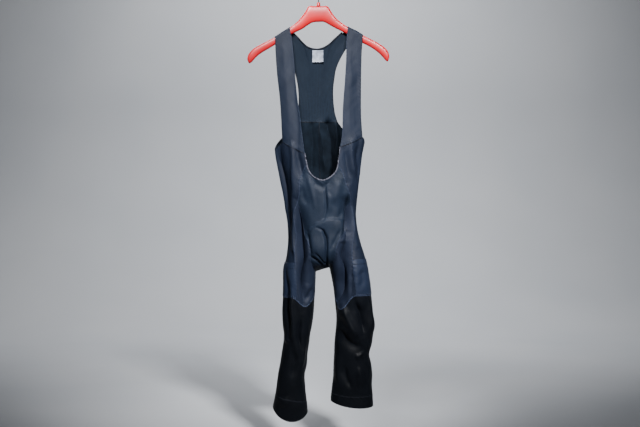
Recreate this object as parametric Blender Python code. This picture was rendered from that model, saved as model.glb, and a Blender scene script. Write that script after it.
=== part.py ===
"""Three-quarter thermal bib tights on a moulded hanger, with the hanger's hook.

Metres, +Z up. The origin is the top of the hook's mouth, where the whole hangs.
The front faces -Y, and left and right are the viewer's, looking at the front.
A "drop" is a distance in millimetres straight down from the origin.
A "turn" is an angle in degrees round one half of the body or round one leg:
0 at the front, 90 at the outer side, 180 at the back, and -90 or 270 at the inner side.
"""

import math

import bmesh
import bpy
import numpy as np

MM = 0.001

# Cloth
CLOTH = 1.5
SEAM_GAP = 0.3
SAME_PLACE = 0.01
POCKET_CLOTH = 1.2
POCKET_EASE = 1.2
LABEL_CLOTH = 0.6

# Section of the body and of each leg. The inner edge of the two halves is one line down to the hip.
# Columns: drop, left outer x, left inner x, right inner x, right outer x, front depth, back depth
LEVELS = (
    (424, -135, 2, 2, 142, 30, 32),
    (497, -136, 2, 2, 142, 38, 38),
    (520, -135, 2, 2, 137, 40, 40),
    (604, -120, 5, 5, 127, 46, 48),
    (682, -105, 8, 8, 118, 50, 54),
    (715, -100, 6, 13, 116, 51, 56),
    (753, -95, 2, 21, 119, 53, 58),
    (808, -94, -4, 29, 131, 56, 60),
    (852, -100, -8, 33, 145, 57, 62),
    (877, -106, -9, 35, 150, 57, 62),
    (926, -108, -10, 44, 158, 54, 60),
    (976, -110, -13, 51, 164, 49, 54),
    (1025, -112, -16, 55, 169, 45, 49),
    (1063, -110, -21, 55, 174, 42, 46),
    (1087, -107, -26, 53, 169, 41, 45),
    (1118, -109, -30, 50, 164, 40, 44),
    (1149, -114, -35, 49, 157, 39, 42),
    (1180, -119, -37, 47, 163, 38, 41),
    (1211, -125, -43, 46, 166, 37, 40),
    (1249, -130, -42, 42, 165, 36, 38),
    (1286, -136, -38, 39, 168, 36, 37),
    (1311, -141, -35, 39, 169, 37, 37),
    (1360, -146, -34, 38, 170, 37, 37),
)
# Columns: drop, x of the body's middle line
MIDDLE = ((424, 2), (517, 2), (604, 5), (682, 8), (808, 12), (900, 12))
HIP_DROP = 682
SEAT_DROP = 825
GUSSET_POINT_DROP = 827
PAD_TOP_DROP = 740
FRONT_CREST_DROPS = (HIP_DROP, 940)
BACK_CREST_DROPS = (SEAT_DROP, 1000)
CROTCH_DROP = {"left": 893, "right": 879}

# Seams on the front. Columns: drop, x
SIDE_SEAM = {
    "left": ((564, -37), (606, -56), (654, -59), (682, -66), (715, -75), (752, -72), (862, -72), (969, -66)),
    "right": ((564, 61), (593, 75), (630, 86), (663, 98), (682, 101), (718, 105), (740, 107),
              (862, 105), (969, 116)),
}
CROTCH_SEAM = {
    "left": ((682, -65), (715, -56), (746, -50), (779, -43), (807, -30), (825, -23)),
    "right": ((682, 100), (697, 93), (734, 88), (760, 83), (776, 75), (790, 66), (816, 55), (825, 52)),
}
BACK_SEAM_TURN = 115

# Top edge of the body, from under the strap round to the waist seam. Columns: turn, drop
RIM = {
    "left": ((19.5, 530), (55, 494), (62, 499), (76, 508), (90, 518),
             (101, 507), (111, 495), (142, 455), (149, 428), (180, 428)),
    "right": ((28.5, 510), (70, 478), (80, 485), (90, 498),
              (100, 489), (111, 478), (149, 450), (156, 428), (180, 428)),
}
NECK_TURN = {"left": 19.5, "right": 28.5}
STRAP_TURN = {"left": 55, "right": 70}
BIB_TURN = {"left": 149, "right": 156}
TIP_TURN = 90
NECKLINE_DROP = 614
NECKLINE_RISE = 50
NECKLINE_ROUND = 1.65
WAIST_DROP = 428

# Knee seam, with its V, then the cuff seam and the hem
KNEE = {
    "left": dict(drop=971, depth=28, turn=-28, spread=52),
    "right": dict(drop=965, depth=42, turn=-46, spread=54),
}
CUFF = {"left": dict(drop=1283, tilt=-10, sag=4), "right": dict(drop=1268, tilt=3, sag=9)}
HEM = {"left": dict(drop=1317, tilt=-8.5, sag=34), "right": dict(drop=1300, tilt=8, sag=9)}
HEM_SAG_POWER = 1.4

# Largest folds of the front. A positive push is a trough and a negative one a ridge.
# Columns: spread, push, then the places (x, drop) that the fold runs through
FRONT_FOLDS = (
    (9, 5, ((-102, 505), (-98, 590), (-92, 700))),
    (10, 8, ((-60, 722), (-50, 780), (-50, 930))),
    (9, 7, ((98, 768), (90, 840), (72, 950))),
    (9, -6, ((78, 975), (97, 1035), (130, 1120))),
    (14, 7, ((112, 990), (140, 1055))),
    (9, 6, ((68, 1020), (100, 1085), (138, 1138))),
    (8, -5, ((112, 1166), (146, 1152))),
    (10, 5, ((-56, 1050), (-58, 1160))),
)
FOLD_FADE_START = 0.75
BACK_FOLDS = (
    (11, 6, ((-52, 760), (-38, 860))),
    (11, 6, ((78, 745), (62, 850))),
    (12, 5, ((-92, 1000), (-40, 1040))),
    (12, 5, ((78, 1010), (140, 1045))),
)

# Straps. Columns: drop, x
STRAP_OUTER = {
    "left": ((172, -134), (216, -132), (263, -129), (303, -125), (346, -120), (395, -116), (494, -112)),
    "right": ((169, 136), (216, 133), (303, 131), (441, 130), (478, 131)),
}
STRAP_INNER = {
    "left": ((145, -89), (169, -84), (204, -80), (241, -76), (303, -72), (349, -67), (457, -53), (530, -44)),
    "right": ((142, 91), (169, 88), (238, 86), (290, 83), (380, 76), (487, 70), (510, 66)),
}
STRAP_CLEARANCE = 1.3
ARM_HALF_THICKNESS = 6

# Back bib. Columns of the edges: drop, x. Columns of the top: place across, x, drop
BIB_EDGE = {
    "left": ((172, -134), (180, -117), (190, -101), (201, -92), (216, -87), (241, -81), (272, -73),
             (297, -67), (322, -63), (353, -61), (381, -62), (406, -65), (428, -69)),
    "right": ((168, 136), (178, 118), (187, 102), (198, 88), (214, 77), (240, 63), (266, 53),
              (291, 49), (322, 45), (353, 45), (378, 47), (403, 51), (428, 59)),
}
BIB_SHOULDER = 0.6
NECK_STAND_OFF = 2.6
BIB_NECK = (
    (-0.6, -89, 144), (-0.5, -79, 155), (-0.4, -67, 167), (-0.3, -54, 180), (-0.2, -40, 195),
    (-0.1, -22, 203), (0.0, -2, 205), (0.1, 17, 200), (0.2, 34, 190), (0.3, 48, 177), (0.4, 61, 165),
    (0.5, 75, 153), (0.6, 91, 141),
)

# Neck label
LABEL_DROPS = (206, 243)
LABEL_EDGES = (-19, 15)
LABEL_CURVE = 0.002

# Pockets
POCKET_DROPS = {"left": (866, 968), "right": (856, 961)}
POCKET_FRONT_EDGE = 0.15
POCKET_BACK_COLUMNS = 1

# Bindings: half height and half thickness
FRONT_BINDING = (2.2, 1.5)
BACK_BINDING = (2.8, 1.5)
BINDING_POINTS = 8
FRONT_NECK_MIDDLE = (11, -40, -500)
BACK_NECK_MIDDLE = (0, 10, -120)

# Hanger. Columns: x, drop of its top, drop of its underside, thickness
HANGER = (
    (-220.5, 229, 237, 6), (-218, 222, 244, 9), (-214, 216, 248, 11), (-209, 210, 246, 12),
    (-202, 203, 239, 12), (-191, 196, 227, 12), (-174, 187, 214, 12), (-155, 177, 203, 12),
    (-134, 166, 190, 12), (-111, 151, 174, 12),
    (-87, 136, 160, 12), (-73, 125, 153, 12), (-61, 114, 147, 13), (-49, 99, 141, 14), (-39, 85, 134, 15),
    (-33, 74, 130, 15), (-29, 71, 127, 15), (-14, 71, 121, 15), (0, 71, 120, 15), (15, 71, 120, 15),
    (27, 71, 125, 15), (30, 73, 127, 15), (41, 90, 133, 14), (52, 105, 139, 13), (68, 120, 147, 12),
    (87, 133, 157, 12), (113, 147, 171, 12), (138, 161, 186, 12), (163, 174, 199, 12), (179, 182, 210, 12),
    (190, 189, 219, 12), (203, 197, 233, 12), (209, 203, 240, 12), (214, 209, 242, 11), (217, 215, 239, 9),
    (219.5, 223, 231, 6),
)
HANGER_ROUND = 3
HANGER_POINTS = 16

# Hook and its collar
WIRE = 3.6
CROOK_RADIUS = 19
CROOK_END_TURN = 205
STEM_BEND = 60
COLLAR_RADIUS = 5.9
COLLAR_TOP_RADIUS = 5
COLLAR_POINTS = 24
COLLAR_DROPS = (60, 70.7)

# Counts of cells
RIM_ROWS = 6
RIM_END_DROP = 625
HIP_ROWS = (654, 682, 710, 738, 762, 784, 805, 825)
CROTCH_ROWS = 6
CROTCH_FRONT_ROW = 3
THIGH_ROWS = 6
LEG_ROWS = 12
CUFF_ROWS = 2
PANEL_COLUMNS = 12
STRAP_COLUMNS = 4
STRAP_BEND_ROWS = 6
STRAP_ROWS = 14
BIB_ROWS = 12
BIB_COLUMNS = 20
THIGH_COLUMNS = 5
SHOULDER_COLUMNS = 3
WAIST_COLUMNS = 4
LABEL_CELLS = 3

LOW_TURN, HIGH_TURN = -90, 270
SIDES = ("left", "right")

# Finishes. Columns: colour, roughness, metallic
FINISHES = {
    "red_plastic": ((0.62, 0.02, 0.03), 0.28, 0.0),
    "steel": ((0.55, 0.55, 0.57), 0.25, 1.0),
    "slate_knit": ((0.045, 0.065, 0.12), 0.7, 0.0),
    "bib_mesh": ((0.022, 0.034, 0.065), 0.8, 0.0),
    "navy_knit": ((0.008, 0.012, 0.024), 0.65, 0.0),
    "black_knit": ((0.004, 0.005, 0.009), 0.7, 0.0),
    "pocket_knit": ((0.02, 0.03, 0.07), 0.6, 0.0),
    "pale_binding": ((0.2, 0.2, 0.25), 0.7, 0.0),
    "dark_binding": ((0.01, 0.014, 0.028), 0.7, 0.0),
    "label_satin": ((0.5, 0.5, 0.52), 0.5, 0.0),
}


def clear_scene():
    for thing in list(bpy.data.objects):
        bpy.data.objects.remove(thing, do_unlink=True)


def new_collection(name):
    collection = bpy.data.collections.new(name)
    bpy.context.scene.collection.children.link(collection)
    return collection


def material(name):
    made = bpy.data.materials.get(name)
    if made:
        return made
    colour, roughness, metallic = FINISHES[name]
    made = bpy.data.materials.new(name)
    made.use_nodes = True
    shader = made.node_tree.nodes["Principled BSDF"]
    shader.inputs["Base Color"].default_value = (*colour, 1)
    shader.inputs["Roughness"].default_value = roughness
    shader.inputs["Metallic"].default_value = metallic
    return made


def smooth_read(table, at, column=1):
    """A smooth curve through one column of a table, read at the values of its first column."""
    known = np.array([row[0] for row in table], float)
    values = np.array([row[column] for row in table], float)
    at = np.clip(np.asarray(at, float), known[0], known[-1])
    slopes = np.gradient(values, known)
    low = np.clip(np.searchsorted(known, at, side="right") - 1, 0, len(known) - 2)
    span = known[low + 1] - known[low]
    t = (at - known[low]) / span
    rise = 3 * t**2 - 2 * t**3
    start, end = t**3 - 2 * t**2 + t, t**3 - t**2
    return (
        values[low] * (1 - rise)
        + values[low + 1] * rise
        + span * (slopes[low] * start + slopes[low + 1] * end)
    )


def straight_read(table, at, column=1):
    return np.interp(at, [row[0] for row in table], [row[column] for row in table])


def eased(value, start, end):
    t = np.clip((np.asarray(value, float) - start) / (end - start), 0, 1)
    return t * t * (3 - 2 * t)


def fold_push(folds, x, drop):
    """How far the folds push the cloth inward at each place, in millimetres."""
    x, drop = np.broadcast_arrays(np.asarray(x, float), np.asarray(drop, float))
    total = np.zeros(x.shape)
    for spread, push, places in folds:
        nearest = np.full(x.shape, np.inf)
        for (x0, drop0), (x1, drop1) in zip(places, places[1:]):
            length = (x1 - x0) ** 2 + (drop1 - drop0) ** 2
            t = np.clip(((x - x0) * (x1 - x0) + (drop - drop0) * (drop1 - drop0)) / length, 0, 1)
            away = (x - x0 - t * (x1 - x0)) ** 2 + (drop - drop0 - t * (drop1 - drop0)) ** 2
            nearest = np.minimum(nearest, away)
        total += push * np.exp(-nearest / spread**2)
    return total


def half_sizes(side, drop):
    """Outer x, inner x, front depth, back depth and the front and back crest's x."""
    columns = (1, 2) if side == "left" else (4, 3)
    outer, inner = (smooth_read(LEVELS, drop, column) for column in columns)
    middle = smooth_read(MIDDLE, drop)
    inner = np.where(np.asarray(drop) <= HIP_DROP, middle, inner)
    front, back = (smooth_read(LEVELS, drop, column) for column in (5, 6))
    centre = (outer + inner) / 2
    front_share = eased(drop, *FRONT_CREST_DROPS)
    back_share = eased(drop, *BACK_CREST_DROPS)
    front_crest = middle * (1 - front_share) + centre * front_share
    back_crest = middle * (1 - back_share) + centre * back_share
    return outer, inner, front, back, front_crest, back_crest


def lobe(side, turn, drop):
    """A point of one half of the body or of one leg, in millimetres."""
    turn, drop = np.broadcast_arrays(np.asarray(turn, float), np.asarray(drop, float))
    outer, inner, front, back, front_crest, back_crest = half_sizes(side, drop)
    across, ahead = np.sin(np.radians(turn)), np.cos(np.radians(turn))
    crest = np.where(ahead > 0, front_crest, back_crest)
    x = crest + np.where(across > 0, outer - crest, crest - inner) * across
    facing = 1 - eased(np.abs(across), FOLD_FADE_START, 1)
    push = np.where(ahead > 0, fold_push(FRONT_FOLDS, x, drop), -fold_push(BACK_FOLDS, x, drop))
    y = -np.where(ahead > 0, front, back) * ahead + push * facing
    return np.stack([x, y, -drop], axis=-1)


def front_turn(side, seam, drop):
    """The turn at which a seam of the front lies."""
    x = smooth_read(seam[side], drop)
    outer, inner, _, _, crest, _ = half_sizes(side, drop)
    share = (x - crest) / (outer - crest)
    inward = (x - crest) / np.where(np.abs(crest - inner) < 1, 1, crest - inner)
    return np.degrees(np.arcsin(np.clip(np.where(share >= 0, share, inward), -1, 1)))


def crotch_share(side, drop):
    return np.clip((np.asarray(drop, float) - SEAT_DROP) / (CROTCH_DROP[side] - SEAT_DROP), 0, 1)


def inner_front_turn(side, drop):
    """Where the front thigh ends: at the crotch seam, then round under it to the inner leg."""
    start = math.sin(math.radians(front_turn(side, CROTCH_SEAM, SEAT_DROP)))
    share = crotch_share(side, drop)
    below = np.degrees(np.arcsin(start + (-1 - start) * share))
    return np.where(np.asarray(drop) <= SEAT_DROP, front_turn(side, CROTCH_SEAM, drop), below)


def inner_back_turn(side, drop):
    """Where the back panel ends: at the centre back, then round under to the inner leg."""
    return 180 + np.degrees(np.arcsin(crotch_share(side, drop)))


def side_turn(side, drop):
    return front_turn(side, SIDE_SEAM, np.minimum(drop, KNEE[side]["drop"]))


def panel_edge_turn(side, drop):
    """The front panel's edge: the side seam above the hip and the crotch seam below it."""
    return np.where(np.asarray(drop) < HIP_DROP, side_turn(side, drop), inner_front_turn(side, drop))


def knee_drop(side, turn):
    knee = KNEE[side]
    away = (np.asarray(turn, float) - knee["turn"] + 180) % 360 - 180
    inside = np.clip(np.abs(away) / knee["spread"], 0, 1)
    return knee["drop"] + knee["depth"] * np.cos(inside * math.pi / 2) ** 2


def band_drop(band, turn, power=1.0):
    ahead = np.clip(np.cos(np.radians(turn)), 0, 1)
    return band["drop"] + band["tilt"] * np.sin(np.radians(turn)) + band["sag"] * ahead**power


def body_row(row, side, rim, turn_at_knee):
    """The drop of one row of the body's cells, from its top edge to the knee seam."""
    if row <= RIM_ROWS:
        return rim + (RIM_END_DROP - rim) * row / RIM_ROWS
    row -= RIM_ROWS
    if row <= len(HIP_ROWS):
        return HIP_ROWS[row - 1]
    row -= len(HIP_ROWS)
    if row <= CROTCH_ROWS:
        share = math.sin(math.pi / 2 * row / CROTCH_ROWS)
        return SEAT_DROP + (CROTCH_DROP[side] - SEAT_DROP) * share
    row -= CROTCH_ROWS
    top = CROTCH_DROP[side]
    return top + (knee_drop(side, turn_at_knee) - top) * row / THIGH_ROWS


HIP_ROW = RIM_ROWS + HIP_ROWS.index(HIP_DROP) + 1
SEAT_ROW = RIM_ROWS + len(HIP_ROWS)
CROTCH_ROW = SEAT_ROW + CROTCH_ROWS
KNEE_ROW = CROTCH_ROW + THIGH_ROWS


def seen_from_outside(side, points):
    """Columns run left to right as seen from outside, so that every cell faces out."""
    return points if side == "right" else points[:, ::-1]


def rim_turns(side):
    """The columns of the side panel and of the back panel at the top edge."""
    start = float(side_turn(side, NECKLINE_DROP - NECKLINE_RISE))
    strap = np.linspace(NECK_TURN[side], STRAP_TURN[side], STRAP_COLUMNS + 1)
    under_arm = [(STRAP_TURN[side] + TIP_TURN) / 2, TIP_TURN, (TIP_TURN + BACK_SEAM_TURN) / 2, BACK_SEAM_TURN]
    shoulder = np.linspace(BACK_SEAM_TURN, BIB_TURN[side], SHOULDER_COLUMNS + 1)
    waist = np.linspace(BIB_TURN[side], 180, WAIST_COLUMNS + 1)[1:]
    return np.array([start, *strap, *under_arm]), np.array([*shoulder, *waist])


def rim_drop(side, turn):
    corner = NECKLINE_DROP - NECKLINE_RISE
    return straight_read(((float(side_turn(side, corner)), corner), *RIM[side]), turn)


def wide_panel(side, turns, low_edge, high_edge):
    """A panel from the body's top edge to the knee seam, its columns spaced as at the top."""
    shares = (turns - turns[0]) / (turns[-1] - turns[0])
    rims = rim_drop(side, turns)
    points = []
    for row in range(KNEE_ROW + 1):
        drops = np.array([
            body_row(row, side, rim, low_edge(side, KNEE[side]["drop"]) * (1 - share)
                     + high_edge(side, KNEE[side]["drop"]) * share)
            for rim, share in zip(rims, shares)
        ])
        low = low_edge(side, drops) if row else turns[0]
        high = high_edge(side, drops) if row else turns[-1]
        points.append(lobe(side, low * (1 - shares) + high * shares, drops))
    return seen_from_outside(side, np.array(points))


def side_panel(side):
    return wide_panel(side, rim_turns(side)[0], side_turn, lambda _, drop: BACK_SEAM_TURN + 0 * drop)


def back_panel(side):
    return wide_panel(side, rim_turns(side)[1], lambda _, drop: BACK_SEAM_TURN + 0 * drop, inner_back_turn)


def thigh_front(side):
    points = []
    shares = np.linspace(0, 1, THIGH_COLUMNS + 1)
    knee_turns = LOW_TURN + (side_turn(side, KNEE[side]["drop"]) - LOW_TURN) * shares
    for row in range(HIP_ROW, KNEE_ROW + 1):
        drops = np.array([body_row(row, side, 0, turn) for turn in knee_turns])
        low, high = inner_front_turn(side, drops), side_turn(side, drops)
        points.append(lobe(side, low * (1 - shares) + high * shares, drops))
    return seen_from_outside(side, np.array(points))


def front_edge_points(side, drop):
    return lobe(side, panel_edge_turn(side, drop), drop)


def front_panel():
    places = np.linspace(-1, 1, PANEL_COLUMNS + 1)
    tops = NECKLINE_DROP - NECKLINE_RISE * np.abs(places) ** NECKLINE_ROUND
    points = []
    for row in range(SEAT_ROW + CROTCH_FRONT_ROW + 1):
        edges = {}
        for side in SIDES:
            drops = np.array([body_row(row, side, top, 0) for top in tops])
            edges[side] = front_edge_points(side, drops)
        share = ((places + 1) / 2)[:, None]
        line = edges["left"] * (1 - share) + edges["right"] * share
        drops = -line[:, 2]
        depth = smooth_read(LEVELS, drops, 5)
        rise = (depth + line[:, 1]) * (1 - eased(drops, PAD_TOP_DROP, SEAT_DROP))
        middle = 1 - places**2
        line[:, 1] += (fold_push(FRONT_FOLDS, line[:, 0], drops) - rise) * middle
        points.append(line)
    return np.array(points)


def gusset():
    """From the front panel under the crotch to a point on the centre back."""
    share = ((np.linspace(-1, 1, PANEL_COLUMNS + 1) + 1) / 2)[:, None]
    points = []
    for row in range(SEAT_ROW + CROTCH_FRONT_ROW, CROTCH_ROW + 1):
        ends = [front_edge_points(side, body_row(row, side, 0, 0)) for side in SIDES]
        points.append(ends[0] * (1 - share) + ends[1] * share)
    for row in range(CROTCH_ROW - 1, SEAT_ROW - 1, -1):
        ends = []
        for side in SIDES:
            drop = body_row(row, side, 0, 0) if row > SEAT_ROW else GUSSET_POINT_DROP
            ends.append(lobe(side, inner_back_turn(side, drop), drop))
        points.append(ends[0] * (1 - share) + ends[1] * share)
    return np.array(points)


def leg_turns(side):
    """Columns of the leg below the knee, the same as the panels' above it."""
    drop = KNEE[side]["drop"]
    seam = float(side_turn(side, drop))
    side_turns, back_turns = rim_turns(side)
    side_shares = (side_turns - side_turns[0]) / (side_turns[-1] - side_turns[0])
    back_shares = (back_turns - back_turns[0]) / (back_turns[-1] - back_turns[0])
    front = np.linspace(LOW_TURN, seam, THIGH_COLUMNS + 1)
    outer = seam + (BACK_SEAM_TURN - seam) * side_shares
    rear = BACK_SEAM_TURN + (HIGH_TURN - BACK_SEAM_TURN) * back_shares
    return np.array([*front, *outer[1:], *rear[1:]])


def tube(side, turns, tops, bottoms, rows):
    shares = np.linspace(0, 1, rows + 1)[:, None]
    drops = tops * (1 - shares) + bottoms * shares
    return seen_from_outside(side, lobe(side, turns, drops))


def lower_leg(side):
    turns = leg_turns(side)
    return tube(side, turns, knee_drop(side, turns), band_drop(CUFF[side], turns), LEG_ROWS)


def cuff(side):
    turns = leg_turns(side)
    hem = band_drop(HEM[side], turns, HEM_SAG_POWER)
    return tube(side, turns, band_drop(CUFF[side], turns), hem, CUFF_ROWS)


def hanger_top(x):
    return straight_read(HANGER, x, 1)


def strap_x(side, share, drop):
    outer, inner = smooth_read(STRAP_OUTER[side], drop), smooth_read(STRAP_INNER[side], drop)
    return outer * (1 - share) + inner * share


def strap(side):
    """From the back of the hanger's arm, over it and down to the chest seam."""
    bend = ARM_HALF_THICKNESS + STRAP_CLEARANCE
    share = np.linspace(0, 1, STRAP_COLUMNS + 1)
    top_x = STRAP_OUTER[side][0][1] * (1 - share) + STRAP_INNER[side][0][1] * share
    axis = hanger_top(top_x) + ARM_HALF_THICKNESS
    turns = STRAP_TURN[side] * (1 - share) + NECK_TURN[side] * share
    chest = lobe(side, turns, rim_drop(side, turns))
    points = []
    for angle in np.linspace(0, math.pi, STRAP_BEND_ROWS + 1):
        y = np.full_like(share, bend * math.cos(angle))
        points.append(np.stack([top_x, y, bend * math.sin(angle) - axis], axis=-1))
    for down in np.linspace(0, 1, STRAP_ROWS + 1)[1:]:
        drops = axis * (1 - down) - chest[:, 2] * down
        x = strap_x(side, share, drops)
        x += (top_x - strap_x(side, share, axis)) * (1 - down) ** 4
        x += (chest[:, 0] - strap_x(side, share, -chest[:, 2])) * down**4
        y = -bend * (1 - down) + chest[:, 1] * down
        points.append(np.stack([x, y, -drops], axis=-1))
    points = np.array(points)
    return points if side == "left" else points[:, ::-1]


def bib_top(place):
    """x and drop of the bib's top edge: shoulder, neckline, shoulder."""
    place = np.asarray(place, float)
    side = "left" if place < 0 else "right"
    if abs(place) <= BIB_SHOULDER:
        return float(smooth_read(BIB_NECK, place)), float(smooth_read(BIB_NECK, place, 2))
    out = (abs(place) - BIB_SHOULDER) / (1 - BIB_SHOULDER)
    x = STRAP_OUTER[side][0][1] * out + STRAP_INNER[side][0][1] * (1 - out)
    return float(x), float(hanger_top(x) + ARM_HALF_THICKNESS)


def back_bib(places, rows):
    """Columns at the given places across, -1 at the left edge and 1 at the right."""
    bend = ARM_HALF_THICKNESS + STRAP_CLEARANCE
    points = []
    for place in places:
        side = "left" if place < 0 else "right"
        top_x, top_drop = bib_top(place)
        foot = lobe(side, 180 - abs(place) * (180 - BIB_TURN[side]), WAIST_DROP)
        down = np.linspace(0, 1, rows + 1)
        drops = top_drop * (1 - down) + WAIST_DROP * down

        def across(drop):
            middle = smooth_read(((140, -2), (WAIST_DROP, 2)), drop)
            return middle + abs(place) * (smooth_read(BIB_EDGE[side], drop) - middle)

        x = across(drops) + (top_x - across(top_drop)) * (1 - down) ** 3
        x = x + (foot[0] - across(WAIST_DROP)) * down**3
        stand_off = NECK_STAND_OFF * max(0, 1 - (place / BIB_SHOULDER) ** 2)
        y = (bend + stand_off) * (1 - down) + foot[1] * down
        points.append(np.stack([x, y, -drops], axis=-1))
    return np.array(points).transpose(1, 0, 2)[:, ::-1]


def between(grid, rows, columns):
    """Points of a panel's own cells at fractions of a row and a column."""
    low_rows = np.minimum(rows.astype(int), grid.shape[0] - 2)
    low_columns = np.minimum(columns.astype(int), grid.shape[1] - 2)
    down, across = (rows - low_rows)[:, None, None], (columns - low_columns)[None, :, None]
    corners = grid[low_rows][:, low_columns], grid[low_rows][:, low_columns + 1]
    lower = grid[low_rows + 1][:, low_columns], grid[low_rows + 1][:, low_columns + 1]
    top = corners[0] * (1 - across) + corners[1] * across
    return top * (1 - down) + (lower[0] * (1 - across) + lower[1] * across) * down


def pocket(side, panel, normals):
    """A patch made from the side panel's own points, moved out, a little full in the middle."""
    row_drops = -panel[:, :, 2].mean(axis=1)
    low, high = np.interp(POCKET_DROPS[side], row_drops, np.arange(len(row_drops)))
    rows = np.array([low, *range(math.ceil(low), math.floor(high) + 1), high])
    last = panel.shape[1] - 1
    columns = np.array([POCKET_FRONT_EDGE, *range(1, last + 1 - POCKET_BACK_COLUMNS)])
    if side == "left":
        columns = (last - columns)[::-1]
    down = (rows - low) / (high - low)
    across = (columns - columns[0]) / (columns[-1] - columns[0])
    fullness = (np.sin(math.pi * across) * np.sin(math.pi * down)[:, None])[..., None]
    clear = CLOTH / 2 + SEAM_GAP + POCKET_CLOTH / 2
    return between(panel, rows, columns) + between(normals, rows, columns) * (clear + POCKET_EASE * fullness)


def neck_label():
    """A blank patch on the bib's inner face, below the back neck."""
    middle = back_bib([0.0], 2 * BIB_ROWS)[:, 0]
    clear = CLOTH / 2 + SEAM_GAP + LABEL_CLOTH / 2
    centre = sum(LABEL_EDGES) / 2
    points = []
    for drop in np.linspace(*LABEL_DROPS, LABEL_CELLS + 1):
        y = np.interp(drop, -middle[:, 2], middle[:, 1]) - clear
        across = np.linspace(*LABEL_EDGES, LABEL_CELLS + 1)
        points.append([(x, y - LABEL_CURVE * (x - centre) ** 2, -drop) for x in across])
    return np.array(points)


def cell_normals(points):
    return np.cross(points[1:, 1:] - points[:-1, :-1], points[:-1, 1:] - points[1:, :-1])


def shared_normals(patches):
    """Normals averaged over every panel that meets at a point, so that walls meet squarely at seams."""
    total = {}

    def key(point):
        return tuple(np.round(point / SAME_PLACE).astype(int))

    for points, _ in patches.values():
        cross = cell_normals(points)
        rows, columns = cross.shape[:2]
        for i in range(rows):
            for j in range(columns):
                for corner in (points[i, j], points[i + 1, j], points[i, j + 1], points[i + 1, j + 1]):
                    place = key(corner)
                    total[place] = total.get(place, 0) + cross[i, j]
    found = {}
    for name, (points, _) in patches.items():
        normals = np.array([[total[key(point)] for point in row] for row in points])
        found[name] = normals / np.linalg.norm(normals, axis=-1, keepdims=True)
    return found


def drawn_in(points, normals, closed):
    """The panel with each cut edge moved in by half the gap that a seam keeps."""
    moved = points.copy()
    edges = [(0, 1, 0), (-1, -2, 0)] + ([] if closed else [(0, 1, 1), (-1, -2, 1)])
    for edge, inside, axis in edges:
        line = points[edge] if axis == 0 else points[:, edge]
        within = points[inside] if axis == 0 else points[:, inside]
        facing = normals[edge] if axis == 0 else normals[:, edge]
        inward = np.cross(facing, np.gradient(line, axis=0))
        inward /= np.linalg.norm(inward, axis=-1, keepdims=True)
        inward *= np.sign(np.sum(inward * (within - line), axis=-1, keepdims=True))
        if axis == 0:
            moved[edge] += inward * SEAM_GAP / 2
        else:
            moved[:, edge] += inward * SEAM_GAP / 2
    return moved


def add_mesh(name, shell, finish, collection):
    """A mesh object from a bmesh in millimetres, its faces turned out."""
    bmesh.ops.recalc_face_normals(shell, faces=shell.faces)
    bmesh.ops.scale(shell, vec=(MM, MM, MM), verts=shell.verts)
    mesh = bpy.data.meshes.new(name)
    shell.to_mesh(mesh)
    shell.free()
    mesh.shade_smooth()
    mesh.set_sharp_from_angle(angle=math.radians(40))
    mesh.materials.append(material(finish))
    made = bpy.data.objects.new(name, mesh)
    collection.objects.link(made)
    return made


def add_wall(name, points, normals, closed, thickness, finish, collection):
    """A cloth wall: the panel's points moved half the thickness out and in, joined round the cut edges."""
    points = drawn_in(points, normals, closed)
    if closed:
        points, normals = points[:, :-1], normals[:, :-1]
    rows, columns = points.shape[:2]
    shell = bmesh.new()
    outer = [[shell.verts.new(p) for p in row] for row in points + normals * thickness / 2]
    inner = [[shell.verts.new(p) for p in row] for row in points - normals * thickness / 2]
    for i in range(rows - 1):
        for j in range(columns if closed else columns - 1):
            k = (j + 1) % columns
            shell.faces.new((outer[i][j], outer[i + 1][j], outer[i + 1][k], outer[i][k]))
            shell.faces.new((inner[i][j], inner[i][k], inner[i + 1][k], inner[i + 1][j]))
    for i in (0, rows - 1):
        for j in range(columns if closed else columns - 1):
            k = (j + 1) % columns
            shell.faces.new((outer[i][j], outer[i][k], inner[i][k], inner[i][j]))
    if not closed:
        for j in (0, columns - 1):
            for i in range(rows - 1):
                shell.faces.new((outer[i][j], outer[i + 1][j], inner[i + 1][j], inner[i][j]))
    return add_mesh(name, shell, finish, collection)


def add_loft(name, rings, finish, collection):
    """A closed solid through rings of equally many points, with flat ends."""
    shell = bmesh.new()
    made = [[shell.verts.new(p) for p in ring] for ring in rings]
    count = len(made[0])
    for ring, following in zip(made, made[1:]):
        for j in range(count):
            k = (j + 1) % count
            shell.faces.new((ring[j], following[j], following[k], ring[k]))
    shell.faces.new(made[0])
    shell.faces.new(made[-1])
    return add_mesh(name, shell, finish, collection)


def add_binding(name, line, normals, opening, half_sizes_mm, finish, collection):
    """An oval band that follows a panel's edge just beyond it, towards the middle of the opening."""
    half_height, half_thickness = half_sizes_mm
    along = np.gradient(line, axis=0)
    beyond = np.cross(normals, along)
    beyond /= np.linalg.norm(beyond, axis=-1, keepdims=True)
    beyond *= np.sign(np.sum(beyond * (np.array(opening) - line), axis=-1, keepdims=True))
    centre = line + beyond * (SEAM_GAP / 2 + half_height)
    angles = 2 * math.pi * np.arange(BINDING_POINTS) / BINDING_POINTS
    rings = [
        [c + b * half_height * math.cos(a) + n * half_thickness * math.sin(a) for a in angles]
        for c, b, n in zip(centre, beyond, normals)
    ]
    return add_loft(name, rings, finish, collection)


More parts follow.
